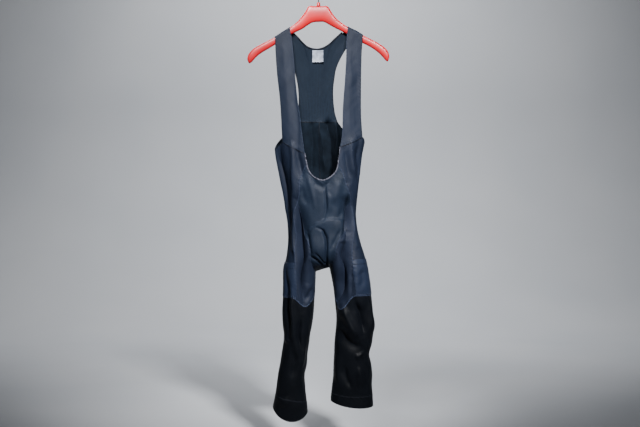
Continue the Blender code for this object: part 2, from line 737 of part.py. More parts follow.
def add_hanger(collection):
    angles = 2 * math.pi * (np.arange(HANGER_POINTS) + 0.5) / HANGER_POINTS
    power = 2 / HANGER_ROUND
    ahead = np.sign(np.cos(angles)) * np.abs(np.cos(angles)) ** power
    up = np.sign(np.sin(angles)) * np.abs(np.sin(angles)) ** power
    rings = []
    for x, top, low, thickness in HANGER:
        centre, half_height = -(top + low) / 2, (low - top) / 2
        rings.append([(x, a * thickness / 2, centre + b * half_height) for a, b in zip(ahead, up)])
    return add_loft("hanger", rings, "red_plastic", collection)


def add_hook(collection):
    """Steel wire: a straight stem, a bend to one side and the round crook."""
    low = COLLAR_DROPS[0] - SEAM_GAP
    crook_centre = -(CROOK_RADIUS - WIRE / 2)
    reach = CROOK_RADIUS * math.sin(math.radians(STEM_BEND))
    bend_start = crook_centre - 2 * reach
    places = [(0, -low)]
    for angle in np.radians(np.linspace(0, STEM_BEND, 7)):
        places.append((CROOK_RADIUS * (1 - math.cos(angle)), bend_start + CROOK_RADIUS * math.sin(angle)))
    for angle in np.radians(np.linspace(-STEM_BEND, CROOK_END_TURN, 27))[1:]:
        places.append((CROOK_RADIUS * math.cos(angle), crook_centre + CROOK_RADIUS * math.sin(angle)))
    curve = bpy.data.curves.new("hook", "CURVE")
    curve.dimensions = "3D"
    curve.bevel_depth = WIRE / 2 * MM
    curve.bevel_resolution = 2
    curve.use_fill_caps = True
    spline = curve.splines.new("POLY")
    spline.points.add(len(places) - 1)
    for point, (y, z) in zip(spline.points, places):
        point.co = (0, y * MM, z * MM, 1)
    curve.materials.append(material("steel"))
    made = bpy.data.objects.new("hook", curve)
    collection.objects.link(made)


def add_collar(collection):
    top, low = COLLAR_DROPS
    shell = bmesh.new()
    bmesh.ops.create_cone(
        shell,
        cap_ends=True,
        segments=COLLAR_POINTS,
        radius1=COLLAR_RADIUS,
        radius2=COLLAR_TOP_RADIUS,
        depth=low - top,
    )
    bmesh.ops.translate(shell, vec=(0, 0, -(top + low) / 2), verts=shell.verts)
    add_mesh("hook_collar", shell, "red_plastic", collection)


def add_garment(collection):
    patches = {"front_panel": (front_panel(), False), "gusset": (gusset(), False)}
    for side in SIDES:
        patches["side_panel_" + side] = (side_panel(side), False)
        patches["back_panel_" + side] = (back_panel(side), False)
        patches["thigh_front_" + side] = (thigh_front(side), False)
        patches["lower_leg_" + side] = (lower_leg(side), True)
        patches["cuff_" + side] = (cuff(side), True)
        patches["strap_" + side] = (strap(side), False)
    patches["back_bib"] = (back_bib(np.linspace(-1, 1, BIB_COLUMNS + 1), BIB_ROWS), False)
    finishes = {"strap": "slate_knit", "back_bib": "bib_mesh", "lower": "black_knit", "cuff": "black_knit"}
    normals = shared_normals(patches)
    for name, (points, closed) in patches.items():
        finish = finishes.get(name, finishes.get(name.split("_")[0], "navy_knit"))
        add_wall(name, points, normals[name], closed, CLOTH, finish, collection)
    for side in SIDES:
        panel = "side_panel_" + side
        points = pocket(side, patches[panel][0], normals[panel])
        flat = shared_normals({"pocket": (points, False)})["pocket"]
        add_wall("pocket_" + side, points, flat, False, POCKET_CLOTH, "pocket_knit", collection)
    points = neck_label()
    flat = shared_normals({"label": (points, False)})["label"]
    add_wall("neck_label", points, flat, False, LABEL_CLOTH, "label_satin", collection)
    add_bindings(patches, normals, collection)


def add_bindings(patches, normals, collection):
    bib, bib_normals = patches["back_bib"][0], normals["back_bib"]
    shoulder = round((1 - BIB_SHOULDER) / 2 * BIB_COLUMNS) + 1
    neck = slice(shoulder, BIB_COLUMNS + 1 - shoulder)
    line, facing = bib[0, neck], bib_normals[0, neck]
    add_binding("back_neck_binding", line, facing, BACK_NECK_MIDDLE, BACK_BINDING, "dark_binding", collection)
    front, front_normals = patches["front_panel"][0], normals["front_panel"]
    left, right = (patches["side_panel_" + side][0] for side in SIDES)
    left_normals, right_normals = (normals["side_panel_" + side] for side in SIDES)
    line = np.array([left[0, -2], *front[0], right[0, 1]])
    facing = np.array([left_normals[0, -2], *front_normals[0], right_normals[0, 1]])
    opening, sizes = FRONT_NECK_MIDDLE, FRONT_BINDING
    add_binding("front_neck_binding", line, facing, opening, sizes, "pale_binding", collection)


def main():
    clear_scene()
    collection = new_collection("bib_tights_on_hanger")
    add_hanger(collection)
    add_collar(collection)
    add_hook(collection)
    add_garment(collection)


main()
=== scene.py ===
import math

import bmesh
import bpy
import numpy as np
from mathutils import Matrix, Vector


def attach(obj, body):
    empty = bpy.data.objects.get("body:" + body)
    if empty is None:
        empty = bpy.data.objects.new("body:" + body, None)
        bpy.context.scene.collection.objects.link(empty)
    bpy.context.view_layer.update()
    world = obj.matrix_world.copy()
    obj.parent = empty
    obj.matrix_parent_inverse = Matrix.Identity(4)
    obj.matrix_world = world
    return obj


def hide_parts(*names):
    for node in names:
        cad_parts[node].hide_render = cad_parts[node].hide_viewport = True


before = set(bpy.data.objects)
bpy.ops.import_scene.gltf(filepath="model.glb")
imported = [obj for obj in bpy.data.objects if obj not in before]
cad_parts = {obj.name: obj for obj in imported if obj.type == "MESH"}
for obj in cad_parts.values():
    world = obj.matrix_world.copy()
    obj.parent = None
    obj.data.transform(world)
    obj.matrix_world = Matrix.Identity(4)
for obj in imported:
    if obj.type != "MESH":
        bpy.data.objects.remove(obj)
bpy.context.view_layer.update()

# The dressed model of the three-quarter bib tights and the hanger they hang from.
# Lengths are in millimetres until a mesh is made. The front faces -Y, and left and right are the viewer's.
# A "drop" is a distance straight down from the top of the hook's mouth, which is the origin.
# A "turn" is an angle in degrees round one half of the body or round one leg:
# 0 at the front, 90 at the outer side, 180 at the back, and -90 or 270 at the inner side.

MM = 0.001
SIDES = ("left", "right")
LOW_TURN, HIGH_TURN = -90, 270

# Cloth
CLOTH = 1.5
POCKET_CLOTH = 1.2
LABEL_CLOTH = 0.6
SEAM_GAP = 0.3
POCKET_EASE = 1.2

# Section of the body and of each leg
# Columns: drop, left outer x, left inner x, right inner x, right outer x, front depth, back depth
LEVELS = (
    (424, -135, 2, 2, 142, 30, 32),
    (497, -136, 2, 2, 142, 38, 38),
    (520, -135, 2, 2, 137, 40, 40),
    (604, -120, 5, 5, 127, 46, 48),
    (682, -105, 8, 8, 118, 50, 54),
    (715, -100, 6, 13, 116, 51, 56),
    (753, -95, 2, 21, 119, 53, 58),
    (808, -94, -4, 29, 131, 56, 60),
    (852, -100, -8, 33, 145, 57, 62),
    (877, -106, -9, 35, 150, 57, 62),
    (926, -108, -10, 44, 158, 54, 60),
    (976, -110, -13, 51, 164, 49, 54),
    (1025, -112, -16, 55, 169, 45, 49),
    (1063, -110, -21, 55, 174, 42, 46),
    (1087, -107, -26, 53, 169, 41, 45),
    (1118, -109, -30, 50, 164, 40, 44),
    (1149, -114, -35, 49, 157, 39, 42),
    (1180, -119, -37, 47, 163, 38, 41),
    (1211, -125, -43, 46, 166, 37, 40),
    (1249, -130, -42, 42, 165, 36, 38),
    (1286, -136, -38, 39, 168, 36, 37),
    (1311, -141, -35, 39, 169, 37, 37),
    (1360, -146, -34, 38, 170, 37, 37),
)
# Columns: drop, x of the body's middle line
MIDDLE = ((424, 2), (517, 2), (604, 5), (682, 8), (808, 12), (900, 12))
HIP_DROP = 682
SEAT_DROP = 825
GUSSET_POINT_DROP = 827
PAD_TOP_DROP = 740
FRONT_CREST_DROPS = (HIP_DROP, 940)
BACK_CREST_DROPS = (SEAT_DROP, 1000)
CROTCH_DROP = {"left": 893, "right": 879}

# Seams on the front. Columns: drop, x
SIDE_SEAM = {
    "left": ((564, -37), (606, -56), (654, -59), (682, -66), (715, -75), (752, -72), (862, -72), (969, -66)),
    "right": ((564, 61), (593, 75), (630, 86), (663, 98), (682, 101), (718, 105), (740, 107),
              (862, 105), (969, 116)),
}
CROTCH_SEAM = {
    "left": ((682, -65), (715, -56), (746, -50), (779, -43), (807, -30), (825, -23)),
    "right": ((682, 100), (697, 93), (734, 88), (760, 83), (776, 75), (790, 66), (816, 55), (825, 52)),
}
BACK_SEAM_TURN = 115

# Top edge of the body, from under the strap round to the waist seam. Columns: turn, drop
RIM = {
    "left": ((19.5, 530), (55, 494), (62, 499), (76, 508), (90, 518),
             (101, 507), (111, 495), (142, 455), (149, 428), (180, 428)),
    "right": ((28.5, 510), (70, 478), (80, 485), (90, 498),
              (100, 489), (111, 478), (149, 450), (156, 428), (180, 428)),
}
NECK_TURN = {"left": 19.5, "right": 28.5}
STRAP_TURN = {"left": 55, "right": 70}
BIB_TURN = {"left": 149, "right": 156}
TIP_TURN = 90
NECKLINE_DROP = 614
NECKLINE_RISE = 50
NECKLINE_ROUND = 1.65
WAIST_DROP = 428

# Knee seam, with its V, then the cuff seam and the hem
KNEE = {
    "left": dict(drop=971, depth=28, turn=-28, spread=52),
    "right": dict(drop=965, depth=42, turn=-46, spread=54),
}
CUFF = {"left": dict(drop=1283, tilt=-10, sag=4), "right": dict(drop=1268, tilt=3, sag=9)}
HEM = {"left": dict(drop=1317, tilt=-8.5, sag=34), "right": dict(drop=1300, tilt=8, sag=9)}
HEM_SAG_POWER = 1.4

# Straps. Columns: drop, x
STRAP_OUTER = {
    "left": ((172, -134), (216, -132), (263, -129), (303, -125), (346, -120), (395, -116), (494, -112)),
    "right": ((169, 136), (216, 133), (303, 131), (441, 130), (478, 131)),
}
STRAP_INNER = {
    "left": ((145, -89), (169, -84), (204, -80), (241, -76), (303, -72), (349, -67), (457, -53), (530, -44)),
    "right": ((142, 91), (169, 88), (238, 86), (290, 83), (380, 76), (487, 70), (510, 66)),
}
STRAP_CLEARANCE = 1.3
ARM_HALF_THICKNESS = 6

# Back bib. Columns of the edges: drop, x. Columns of the top: place across, x, drop
BIB_EDGE = {
    "left": ((172, -134), (180, -117), (190, -101), (201, -92), (216, -87), (241, -81), (272, -73),
             (297, -67), (322, -63), (353, -61), (381, -62), (406, -65), (428, -69)),
    "right": ((168, 136), (178, 118), (187, 102), (198, 88), (214, 77), (240, 63), (266, 53),
              (291, 49), (322, 45), (353, 45), (378, 47), (403, 51), (428, 59)),
}
BIB_SHOULDER = 0.6
NECK_STAND_OFF = 2.6
BIB_NECK = (
    (-0.6, -89, 144), (-0.5, -79, 155), (-0.4, -67, 167), (-0.3, -54, 180), (-0.2, -40, 195),
    (-0.1, -22, 203), (0.0, -2, 205), (0.1, 17, 200), (0.2, 34, 190), (0.3, 48, 177), (0.4, 61, 165),
    (0.5, 75, 153), (0.6, 91, 141),
)
LABEL_DROPS = (206, 243)
LABEL_EDGES = (-19, 15)
LABEL_CURVE = 0.002
LABEL_LIFT = 4.0
LABEL_CURL = 2.5

# Pockets
POCKET_DROPS = {"left": (866, 968), "right": (856, 961)}
POCKET_FRONT_EDGE = 0.15
POCKET_BACK_COLUMNS = 1
POCKET_HEM = 0.14

# Bindings: half height and half thickness
FRONT_BINDING = (2.2, 1.5)
BACK_BINDING = (2.8, 1.5)
BINDING_LAP = 0.8
FRONT_NECK_MIDDLE = (11, -40, -500)
BACK_NECK_MIDDLE = (0, 10, -120)

# Hanger. Columns: x, drop of its top, drop of its underside, thickness
HANGER = (
    (-220.5, 229, 237, 6), (-218, 222, 244, 9), (-214, 216, 248, 11), (-209, 210, 246, 12),
    (-202, 203, 239, 12), (-191, 196, 227, 12), (-174, 187, 214, 12), (-155, 177, 203, 12),
    (-134, 166, 190, 12), (-111, 151, 174, 12),
    (-87, 136, 160, 12), (-73, 125, 153, 12), (-61, 114, 147, 13), (-49, 99, 141, 14), (-39, 85, 134, 15),
    (-33, 74, 130, 15), (-29, 71, 127, 15), (-14, 71, 121, 15), (0, 71, 120, 15), (15, 71, 120, 15),
    (27, 71, 125, 15), (30, 73, 127, 15), (41, 90, 133, 14), (52, 105, 139, 13), (68, 120, 147, 12),
    (87, 133, 157, 12), (113, 147, 171, 12), (138, 161, 186, 12), (163, 174, 199, 12), (179, 182, 210, 12),
    (190, 189, 219, 12), (203, 197, 233, 12), (209, 203, 240, 12), (214, 209, 242, 11), (217, 215, 239, 9),
    (219.5, 223, 231, 6),
)
HANGER_ROUND = 2.3

# Hook and its collar. The tip's last two rings are smaller by these shares.
WIRE = 3.6
WIRE_TIP = (0.9, 0.55)
CROOK_RADIUS = 19
CROOK_END_TURN = 205
STEM_BEND = 60
COLLAR_RADIUS = 5.9
COLLAR_TOP_RADIUS = 5
COLLAR_DROPS = (60, 70.7)

# Creases of the front, given one by one. A positive height stands out and a negative one is a trough.
# Columns: half width, height, lean, strength at the start and at the end, places (x, drop)
FRONT_CREASES = (
    # straps
    (13, 1.2, 0.1, 0.3, 0.4, ((-110, 205), (-98, 364), (-90, 480))),
    (9, -2.0, 0.3, 0.1, 0.5, ((-80, 235), (-67, 395), (-58, 505))),
    (10, -1.2, 0, 0.2, 0.4, ((116, 240), (118, 365), (121, 470))),
    (9, 0.9, 0, 0.3, 0.2, ((100, 180), (96, 300), (90, 450))),
    # front panel
    (8, -2.6, 0, 0.3, 0.3, ((-24, 598), (-6, 622), (14, 632), (34, 618), (48, 594))),
    (6, 1.8, 0, 0.2, 0.2, ((-34, 600), (-22, 640), (-14, 690))),
    (4, -3.0, 0.2, 0.2, 0.4, ((23, 621), (23, 694), (20, 731))),
    (7, 2.2, 0, 0, 0, ((31, 642), (31, 688), (28, 725))),
    (12, 3.0, 0, 0.5, 0, ((72, 607), (52, 657), (38, 691))),
    (13, -4.0, 0, 0, 0.2, ((84, 651), (76, 709), (53, 731))),
    (8, -2.0, 0, 0, 0, ((-53, 630), (-44, 661), (-33, 691))),
    # seat pad pressing through
    (4.2, -5.5, 0.1, 0.2, 1, ((-3, 757), (17, 766), (24, 789), (24, 828), (23, 874))),
    (4, -3.5, 0.2, 0.2, 0.6, ((-35, 767), (-26, 801), (-20, 837))),
    (6, -2.5, 0, 0, 0.5, ((66, 758), (52, 795), (38, 825))),
    (3.2, -3.0, 0, 0.5, 0.8, ((-23, 843), (-4, 859), (14, 874))),
    (3.0, -2.2, 0, 0.3, 0.8, ((-11, 836), (6, 854), (20, 868))),
    # top of the right thigh
    (5, 2.4, 0.2, 0.3, 0, ((93, 797), (78, 795), (64, 799))),
    (9, -13.0, -0.25, 0.1, 0.1, ((98, 650), (95, 690), (90, 730), (82, 762), (72, 790))),
    (12, -19.0, -0.25, 0.3, 0.1, ((90, 772), (85, 815), (78, 860), (70, 916), (61, 965), (52, 1005))),
    # left side and thigh
    (17, -10.0, 0.1, 0.6, 0.3, ((-124, 502), (-119, 581), (-110, 642), (-103, 697), (-97, 758), (-95, 800))),
    (10, 5.0, -0.2, 0.5, 0.3, ((-84, 508), (-78, 581), (-73, 642), (-76, 697), (-79, 758), (-77, 825))),
    (7, -4.5, 0, 0.6, 0.1, ((-62, 526), (-58, 569), (-50, 618))),
    (12, -20.0, -0.25, 0.2, 0.1, ((-66, 670), (-61, 745), (-57, 810), (-52, 880), (-47, 945), (-44, 1010))),
    (6, 3.5, 0, 0.3, 0.4, ((-74, 728), (-75, 795), (-73, 862))),
    # right side
    (8, 4.5, 0.2, 0.3, 0.3, ((95, 630), (108, 691), (111, 752), (119, 813))),
    (9, 3.5, 0, 0.5, 0, ((102, 496), (105, 551), (110, 612))),
    (7, -4.0, 0, 0.4, 0.1, ((123, 484), (125, 545), (125, 630))),
    (7, -2.5, 0, 0.4, 0.1, ((81, 520), (85, 566), (96, 612))),
    (6, -4.0, 0, 0.2, 0.3, ((104, 880), (104, 923), (102, 968))),
    (10, -3.0, 0, 0, 0, ((127, 880), (133, 923), (130, 953))),
    # left lower leg
    (8, 5.0, 0.1, 0.3, 0.2, ((-83, 947), (-81, 1008), (-76, 1075), (-72, 1130))),
    (5, -5.0, 0.1, 0.1, 0.1, ((-55, 1032), (-56, 1075), (-56, 1130))),
    (6, -6.0, 0, 0.2, 0.2, ((-97, 874), (-95, 947), (-95, 1032), (-91, 1099))),
    (7, 2.4, 0, 0, 0, ((-108, 1106), (-97, 1104), (-86, 1114))),
    (6, 4.0, 0.2, 0.2, 0.1, ((-41, 1118), (-47, 1148), (-56, 1191))),
    (7, -3.5, 0, 0.1, 0.1, ((-79, 1130), (-73, 1179), (-78, 1227))),
    (7, -3.5, 0, 0.2, 0.2, ((-15, 941), (-29, 968), (-41, 987))),
    (7, 1.5, 0, 0, 0.2, ((-36, 923), (-30, 947), (-18, 971))),
    (14, 3.0, 0, 0, 0, ((-114, 1276), (-99, 1306))),
    # right lower leg
    (11, 8.0, 0.25, 0.3, 0.2, ((70, 990), (88, 1032), (108, 1072), (127, 1100))),
    (10, -9.0, 0, 0.1, 0.2, ((113, 980), (128, 1014), (137, 1054), (140, 1087))),
    (12, -4.5, 0.5, 0.2, 0.3, ((58, 1063), (84, 1093), (108, 1113), (134, 1126))),
    (7, 3.0, 0.2, 0.1, 0.3, ((106, 1154), (123, 1151), (142, 1143))),
    (8, -3.5, 0.1, 0.1, 0.1, ((76, 1179), (87, 1215), (105, 1255))),
    (9, 3.5, 0, 0.1, 0.3, ((120, 1179), (130, 1221), (130, 1258))),
    (9, 3.0, 0, 0.1, 0.3, ((59, 1136), (63, 1191), (63, 1252))),
    (7, 4.0, 0, 0.2, 0.2, ((152, 977), (159, 1038), (157, 1093))),
)
# The same for the back. Only those above the hip show in the photograph, from inside the neck.
BACK_CREASES = (
    (11, -11.0, 0, 0.4, 0.2, ((6, 434), (12, 500), (20, 600))),
    (8.5, 12.5, 0, 0.6, 0.3, ((29, 434), (38, 520), (50, 610), (50, 690))),
    (8, -12.0, 0, 0.5, 0.1, ((54, 434), (62, 505), (74, 600))),
    (7, 5.0, 0.1, 0.4, 0.1, ((-20, 436), (-18, 520), (-16, 610))),
    (10, -6.5, 0, 0.4, 0.1, ((-42, 438), (-46, 530), (-40, 640))),
    (9, -4.5, 0.1, 0.1, 0.1, ((88, 500), (84, 590), (76, 670))),
    (11, -7.0, 0.1, 0.1, 0.3, ((-64, 690), (-52, 770), (-40, 850), (-34, 880))),
    (11, -7.0, 0.1, 0.1, 0.3, ((92, 680), (80, 760), (66, 850), (58, 878))),
    (8, 4.5, 0, 0, 0.2, ((-18, 720), (-14, 790), (-20, 840))),
    (8, 4.5, 0, 0, 0.2, ((38, 715), (36, 790), (44, 835))),
    (6, -4.5, 0, 0.4, 0.1, ((-24, 905), (-50, 915), (-82, 902))),
    (6, -4.5, 0, 0.4, 0.1, ((50, 895), (80, 908), (118, 893))),
    (6, -5.0, 0.2, 0.1, 0.2, ((-98, 985), (-68, 1010), (-34, 1018))),
    (6, -4.5, 0.2, 0.1, 0.2, ((-94, 1040), (-62, 1048), (-32, 1036))),
    (7, 4.0, 0, 0, 0, ((-92, 1012), (-64, 1030), (-38, 1030))),
    (6, -5.0, 0.2, 0.1, 0.2, ((74, 990), (108, 1014), (148, 1008))),
    (7, -5.0, 0.2, 0.1, 0.2, ((70, 1048), (106, 1056), (152, 1036))),
    (7, 4.0, 0, 0, 0, ((76, 1018), (108, 1036), (150, 1024))),
    (8, -4.5, 0, 0.1, 0.1, ((-72, 1090), (-80, 1160), (-88, 1240))),
    (9, -5.0, 0, 0.1, 0.1, ((104, 1100), (98, 1170), (110, 1245))),
    (9, 3.5, 0, 0, 0.1, ((132, 1110), (130, 1180), (140, 1240))),
)

# How deep the creases are against their tables, and between which shares of facing they come in
CREASE_DEPTH = 1.6
FACING = (0.05, 0.6)

# Slight waves. Columns: seed, length, height. The first two let the creases wander across and down.
CREASE_WANDER = ((3, 60, 2.0), (4, 45, 2.0))
CLOTH_WAVES = ((5, 38, 0.25), (6, 17, 0.1))
PAD_WANDER = 0.6

# Outline of the seat pad behind the front, x and drop, how far it holds the cloth out and its edge's width
PAD_OUTLINE = (
    (-36, 772), (-30, 758), (-12, 748), (6, 740), (22, 732), (44, 727), (62, 729), (72, 738), (80, 756),
    (76, 780), (62, 802), (50, 828), (34, 866), (12, 880), (-8, 858), (-24, 826),
)
PAD_RISE = 5.0
PAD_STEP = 7.0

# Seams, bindings and edges. Columns: half width, half thickness, step between rings, and how much every
# second ring stands out, as a share
TRIMS = {
    "seam": (1.9, 1.15, 1.3, 0.09),
    "back_neck": (*BACK_BINDING, 1.8, 0.02),
    "front_neck": (*FRONT_BINDING, 1.5, 0.08),
    "bib_edge": (1.3, 1.25, 2.2, 0),
    "strap_edge": (0.9, 1.2, 2.2, 0),
    "armhole_edge": (1.3, 1.3, 2.0, 0),
    "hem_edge": (1.2, 1.2, 2.4, 0),
    "pocket_edge": (1.3, 0.9, 1.4, 0.08),
    "pocket_hem": (0.9, 0.95, 1.4, 0.1),
}
BAND_SMOOTHING = 4
BAND_SIDES = 10

# Edges that turn by more than this many degrees are drawn sharp
SHARP_ANGLE = 40

# Ripples along the seams
PUCKER_LENGTH = 11
PUCKER_HEIGHT = 0.3
PUCKER_REACH = 7

# Studio: height of the floor, then where the paper starts to rise and the radius of its bend
FLOOR = -1440
BACKDROP = (2400, 1500)

# Counts of cells. Each cell of the plain solids is cut into FINE_ROWS by FINE_COLUMNS here.
FINE_ROWS, FINE_COLUMNS = 8, 7
RIM_ROWS = 6
RIM_END_DROP = 625
HIP_ROWS = (654, 682, 710, 738, 762, 784, 805, 825)
CROTCH_ROWS = 6
CROTCH_FRONT_ROW = 3
THIGH_ROWS = 6
LEG_ROWS = 12
CUFF_ROWS = 2
PANEL_COLUMNS = 12
STRAP_COLUMNS = 4
STRAP_BEND_ROWS = 6
STRAP_ROWS = 14
BIB_ROWS = 12
BIB_COLUMNS, BIB_FINE_COLUMNS = 20, 4
THIGH_COLUMNS = 5
SHOULDER_COLUMNS = 3
WAIST_COLUMNS = 4
HIP_ROW = RIM_ROWS + HIP_ROWS.index(HIP_DROP) + 1
SEAT_ROW = RIM_ROWS + len(HIP_ROWS)
CROTCH_ROW = SEAT_ROW + CROTCH_ROWS
KNEE_ROW = CROTCH_ROW + THIGH_ROWS


def smooth_read(table, at, column=1):
    """A smooth curve through one column of a table, read at the values of its first column."""
    known = np.array([row[0] for row in table], float)
    values = np.array([row[column] for row in table], float)
    at = np.clip(np.asarray(at, float), known[0], known[-1])
    slopes = np.gradient(values, known)
    low = np.clip(np.searchsorted(known, at, side="right") - 1, 0, len(known) - 2)
    span = known[low + 1] - known[low]
    t = (at - known[low]) / span
    rise = 3 * t**2 - 2 * t**3
    start, end = t**3 - 2 * t**2 + t, t**3 - t**2
    return (
        values[low] * (1 - rise)
        + values[low + 1] * rise
        + span * (slopes[low] * start + slopes[low + 1] * end)
    )


def straight_read(table, at, column=1):
    return np.interp(at, [row[0] for row in table], [row[column] for row in table])


def eased(value, start, end):
    t = np.clip((np.asarray(value, float) - start) / (end - start), 0, 1)
    return t * t * (3 - 2 * t)


def half_sizes(side, drop):
    """Outer x, inner x, front depth, back depth and the front and back crest's x."""
    columns = (1, 2) if side == "left" else (4, 3)
    outer, inner = (smooth_read(LEVELS, drop, column) for column in columns)
    middle = smooth_read(MIDDLE, drop)
    inner = np.where(np.asarray(drop) <= HIP_DROP, middle, inner)
    front, back = (smooth_read(LEVELS, drop, column) for column in (5, 6))
    centre = (outer + inner) / 2
    front_share = eased(drop, *FRONT_CREST_DROPS)
    back_share = eased(drop, *BACK_CREST_DROPS)
    front_crest = middle * (1 - front_share) + centre * front_share
    back_crest = middle * (1 - back_share) + centre * back_share
    return outer, inner, front, back, front_crest, back_crest


def lobe(side, turn, drop):
    """A point of one half of the body or of one leg, before its creases."""
    turn, drop = np.broadcast_arrays(np.asarray(turn, float), np.asarray(drop, float))
    outer, inner, front, back, front_crest, back_crest = half_sizes(side, drop)
    across, ahead = np.sin(np.radians(turn)), np.cos(np.radians(turn))
    crest = np.where(ahead > 0, front_crest, back_crest)
    x = crest + np.where(across > 0, outer - crest, crest - inner) * across
    y = -np.where(ahead > 0, front, back) * ahead
    return np.stack([x, y, -drop], axis=-1)


def front_turn(side, seam, drop):
    """The turn at which a seam of the front lies."""
    x = smooth_read(seam[side], drop)
    outer, inner, _, _, crest, _ = half_sizes(side, drop)
    share = (x - crest) / (outer - crest)
    inward = (x - crest) / np.where(np.abs(crest - inner) < 1, 1, crest - inner)
    return np.degrees(np.arcsin(np.clip(np.where(share >= 0, share, inward), -1, 1)))


def crotch_share(side, drop):
    return np.clip((np.asarray(drop, float) - SEAT_DROP) / (CROTCH_DROP[side] - SEAT_DROP), 0, 1)


def inner_front_turn(side, drop):
    """Where the front thigh ends: at the crotch seam, then round under it to the inner leg."""
    start = math.sin(math.radians(front_turn(side, CROTCH_SEAM, SEAT_DROP)))
    share = crotch_share(side, drop)
    below = np.degrees(np.arcsin(start + (-1 - start) * share))
    return np.where(np.asarray(drop) <= SEAT_DROP, front_turn(side, CROTCH_SEAM, drop), below)


def inner_back_turn(side, drop):
    """Where the back panel ends: at the centre back, then round under to the inner leg."""
    return 180 + np.degrees(np.arcsin(crotch_share(side, drop)))


def side_turn(side, drop):
    return front_turn(side, SIDE_SEAM, np.minimum(drop, KNEE[side]["drop"]))


def back_seam_turn(side, drop):
    return BACK_SEAM_TURN + 0 * np.asarray(drop, float)


def panel_edge_turn(side, drop):
    """The front panel's edge: the side seam above the hip and the crotch seam below it."""
    return np.where(np.asarray(drop) < HIP_DROP, side_turn(side, drop), inner_front_turn(side, drop))


def knee_drop(side, turn):
    knee = KNEE[side]
    away = (np.asarray(turn, float) - knee["turn"] + 180) % 360 - 180
    inside = np.clip(np.abs(away) / knee["spread"], 0, 1)
    return knee["drop"] + knee["depth"] * np.cos(inside * math.pi / 2) ** 2


def band_drop(band, turn, power=1.0):
    ahead = np.clip(np.cos(np.radians(turn)), 0, 1)
    return band["drop"] + band["tilt"] * np.sin(np.radians(turn)) + band["sag"] * ahead**power


def row_drops(side, rims, turns_at_knee, rows):
    """The drops of a panel's cells: rows that need not be whole, by columns."""
    whole_rims = [rims + (RIM_END_DROP - rims) * row / RIM_ROWS for row in range(RIM_ROWS + 1)]
    hips = [np.full_like(rims, drop) for drop in HIP_ROWS]
    depth = CROTCH_DROP[side] - SEAT_DROP
    crotch = [
        np.full_like(rims, SEAT_DROP + depth * math.sin(math.pi / 2 * row / CROTCH_ROWS))
        for row in range(1, CROTCH_ROWS + 1)
    ]
    knee = knee_drop(side, turns_at_knee)
    thigh = [
        CROTCH_DROP[side] + (knee - CROTCH_DROP[side]) * row / THIGH_ROWS
        for row in range(1, THIGH_ROWS + 1)
    ]
    whole = np.array([*whole_rims, *hips, *crotch, *thigh])
    return np.stack(
        [np.interp(rows, np.arange(len(whole)), whole[:, j]) for j in range(whole.shape[1])], axis=1
    )


def fine(count, parts):
    return np.linspace(0, count, count * parts + 1)


def fine_values(values, parts):
    return np.interp(fine(len(values) - 1, parts), np.arange(len(values)), values)


def seen_from_outside(side, points):
    """Columns run left to right as seen from outside, so that every cell faces out."""
    return points if side == "right" else points[:, ::-1]


def rim_turns(side):
    """The columns of the side panel and of the back panel at the top edge."""
    start = float(side_turn(side, NECKLINE_DROP - NECKLINE_RISE))
    strap = np.linspace(NECK_TURN[side], STRAP_TURN[side], STRAP_COLUMNS + 1)
    under_arm = [(STRAP_TURN[side] + TIP_TURN) / 2, TIP_TURN, (TIP_TURN + BACK_SEAM_TURN) / 2, BACK_SEAM_TURN]
    shoulder = np.linspace(BACK_SEAM_TURN, BIB_TURN[side], SHOULDER_COLUMNS + 1)
    waist = np.linspace(BIB_TURN[side], 180, WAIST_COLUMNS + 1)[1:]
    columns = np.array([start, *strap, *under_arm]), np.array([*shoulder, *waist])
    return [fine_values(turns, FINE_COLUMNS) for turns in columns]


def rim_drop(side, turn):
    corner = NECKLINE_DROP - NECKLINE_RISE
    return straight_read(((float(side_turn(side, corner)), corner), *RIM[side]), turn)


def wide_panel(side, turns, low_edge, high_edge):
    """A panel from the body's top edge to the knee seam, its columns spaced as at the top."""
    shares = (turns - turns[0]) / (turns[-1] - turns[0])
    low_knee, high_knee = (edge(side, KNEE[side]["drop"]) for edge in (low_edge, high_edge))
    rows = fine(KNEE_ROW, FINE_ROWS)
    drops = row_drops(side, rim_drop(side, turns), low_knee * (1 - shares) + high_knee * shares, rows)
    settled = np.clip(rows, 0, 1)[:, None]
    low = turns[0] * (1 - settled) + low_edge(side, drops) * settled
    high = turns[-1] * (1 - settled) + high_edge(side, drops) * settled
    return seen_from_outside(side, lobe(side, low * (1 - shares) + high * shares, drops))


def thigh_front(side):
    shares = np.linspace(0, 1, THIGH_COLUMNS * FINE_COLUMNS + 1)
    knee_turns = LOW_TURN + (side_turn(side, KNEE[side]["drop"]) - LOW_TURN) * shares
    rows = HIP_ROW + fine(KNEE_ROW - HIP_ROW, FINE_ROWS)
    drops = row_drops(side, np.zeros_like(shares), knee_turns, rows)
    low, high = inner_front_turn(side, drops), side_turn(side, drops)
    return seen_from_outside(side, lobe(side, low * (1 - shares) + high * shares, drops))


def front_edge_points(side, drop):
    return lobe(side, panel_edge_turn(side, drop), drop)


def front_panel():
    places = np.linspace(-1, 1, PANEL_COLUMNS * FINE_COLUMNS + 1)
    tops = NECKLINE_DROP - NECKLINE_RISE * np.abs(places) ** NECKLINE_ROUND
    rows = fine(SEAT_ROW + CROTCH_FRONT_ROW, FINE_ROWS)
    left, right = (
        front_edge_points(side, row_drops(side, tops, np.zeros_like(places), rows)) for side in SIDES
    )
    share = ((places + 1) / 2)[:, None]
    points = left * (1 - share) + right * share
    drops = -points[..., 2]
    rise = (smooth_read(LEVELS, drops, 5) + points[..., 1]) * (1 - eased(drops, PAD_TOP_DROP, SEAT_DROP))
    points[..., 1] -= rise * (1 - places**2)
    return points


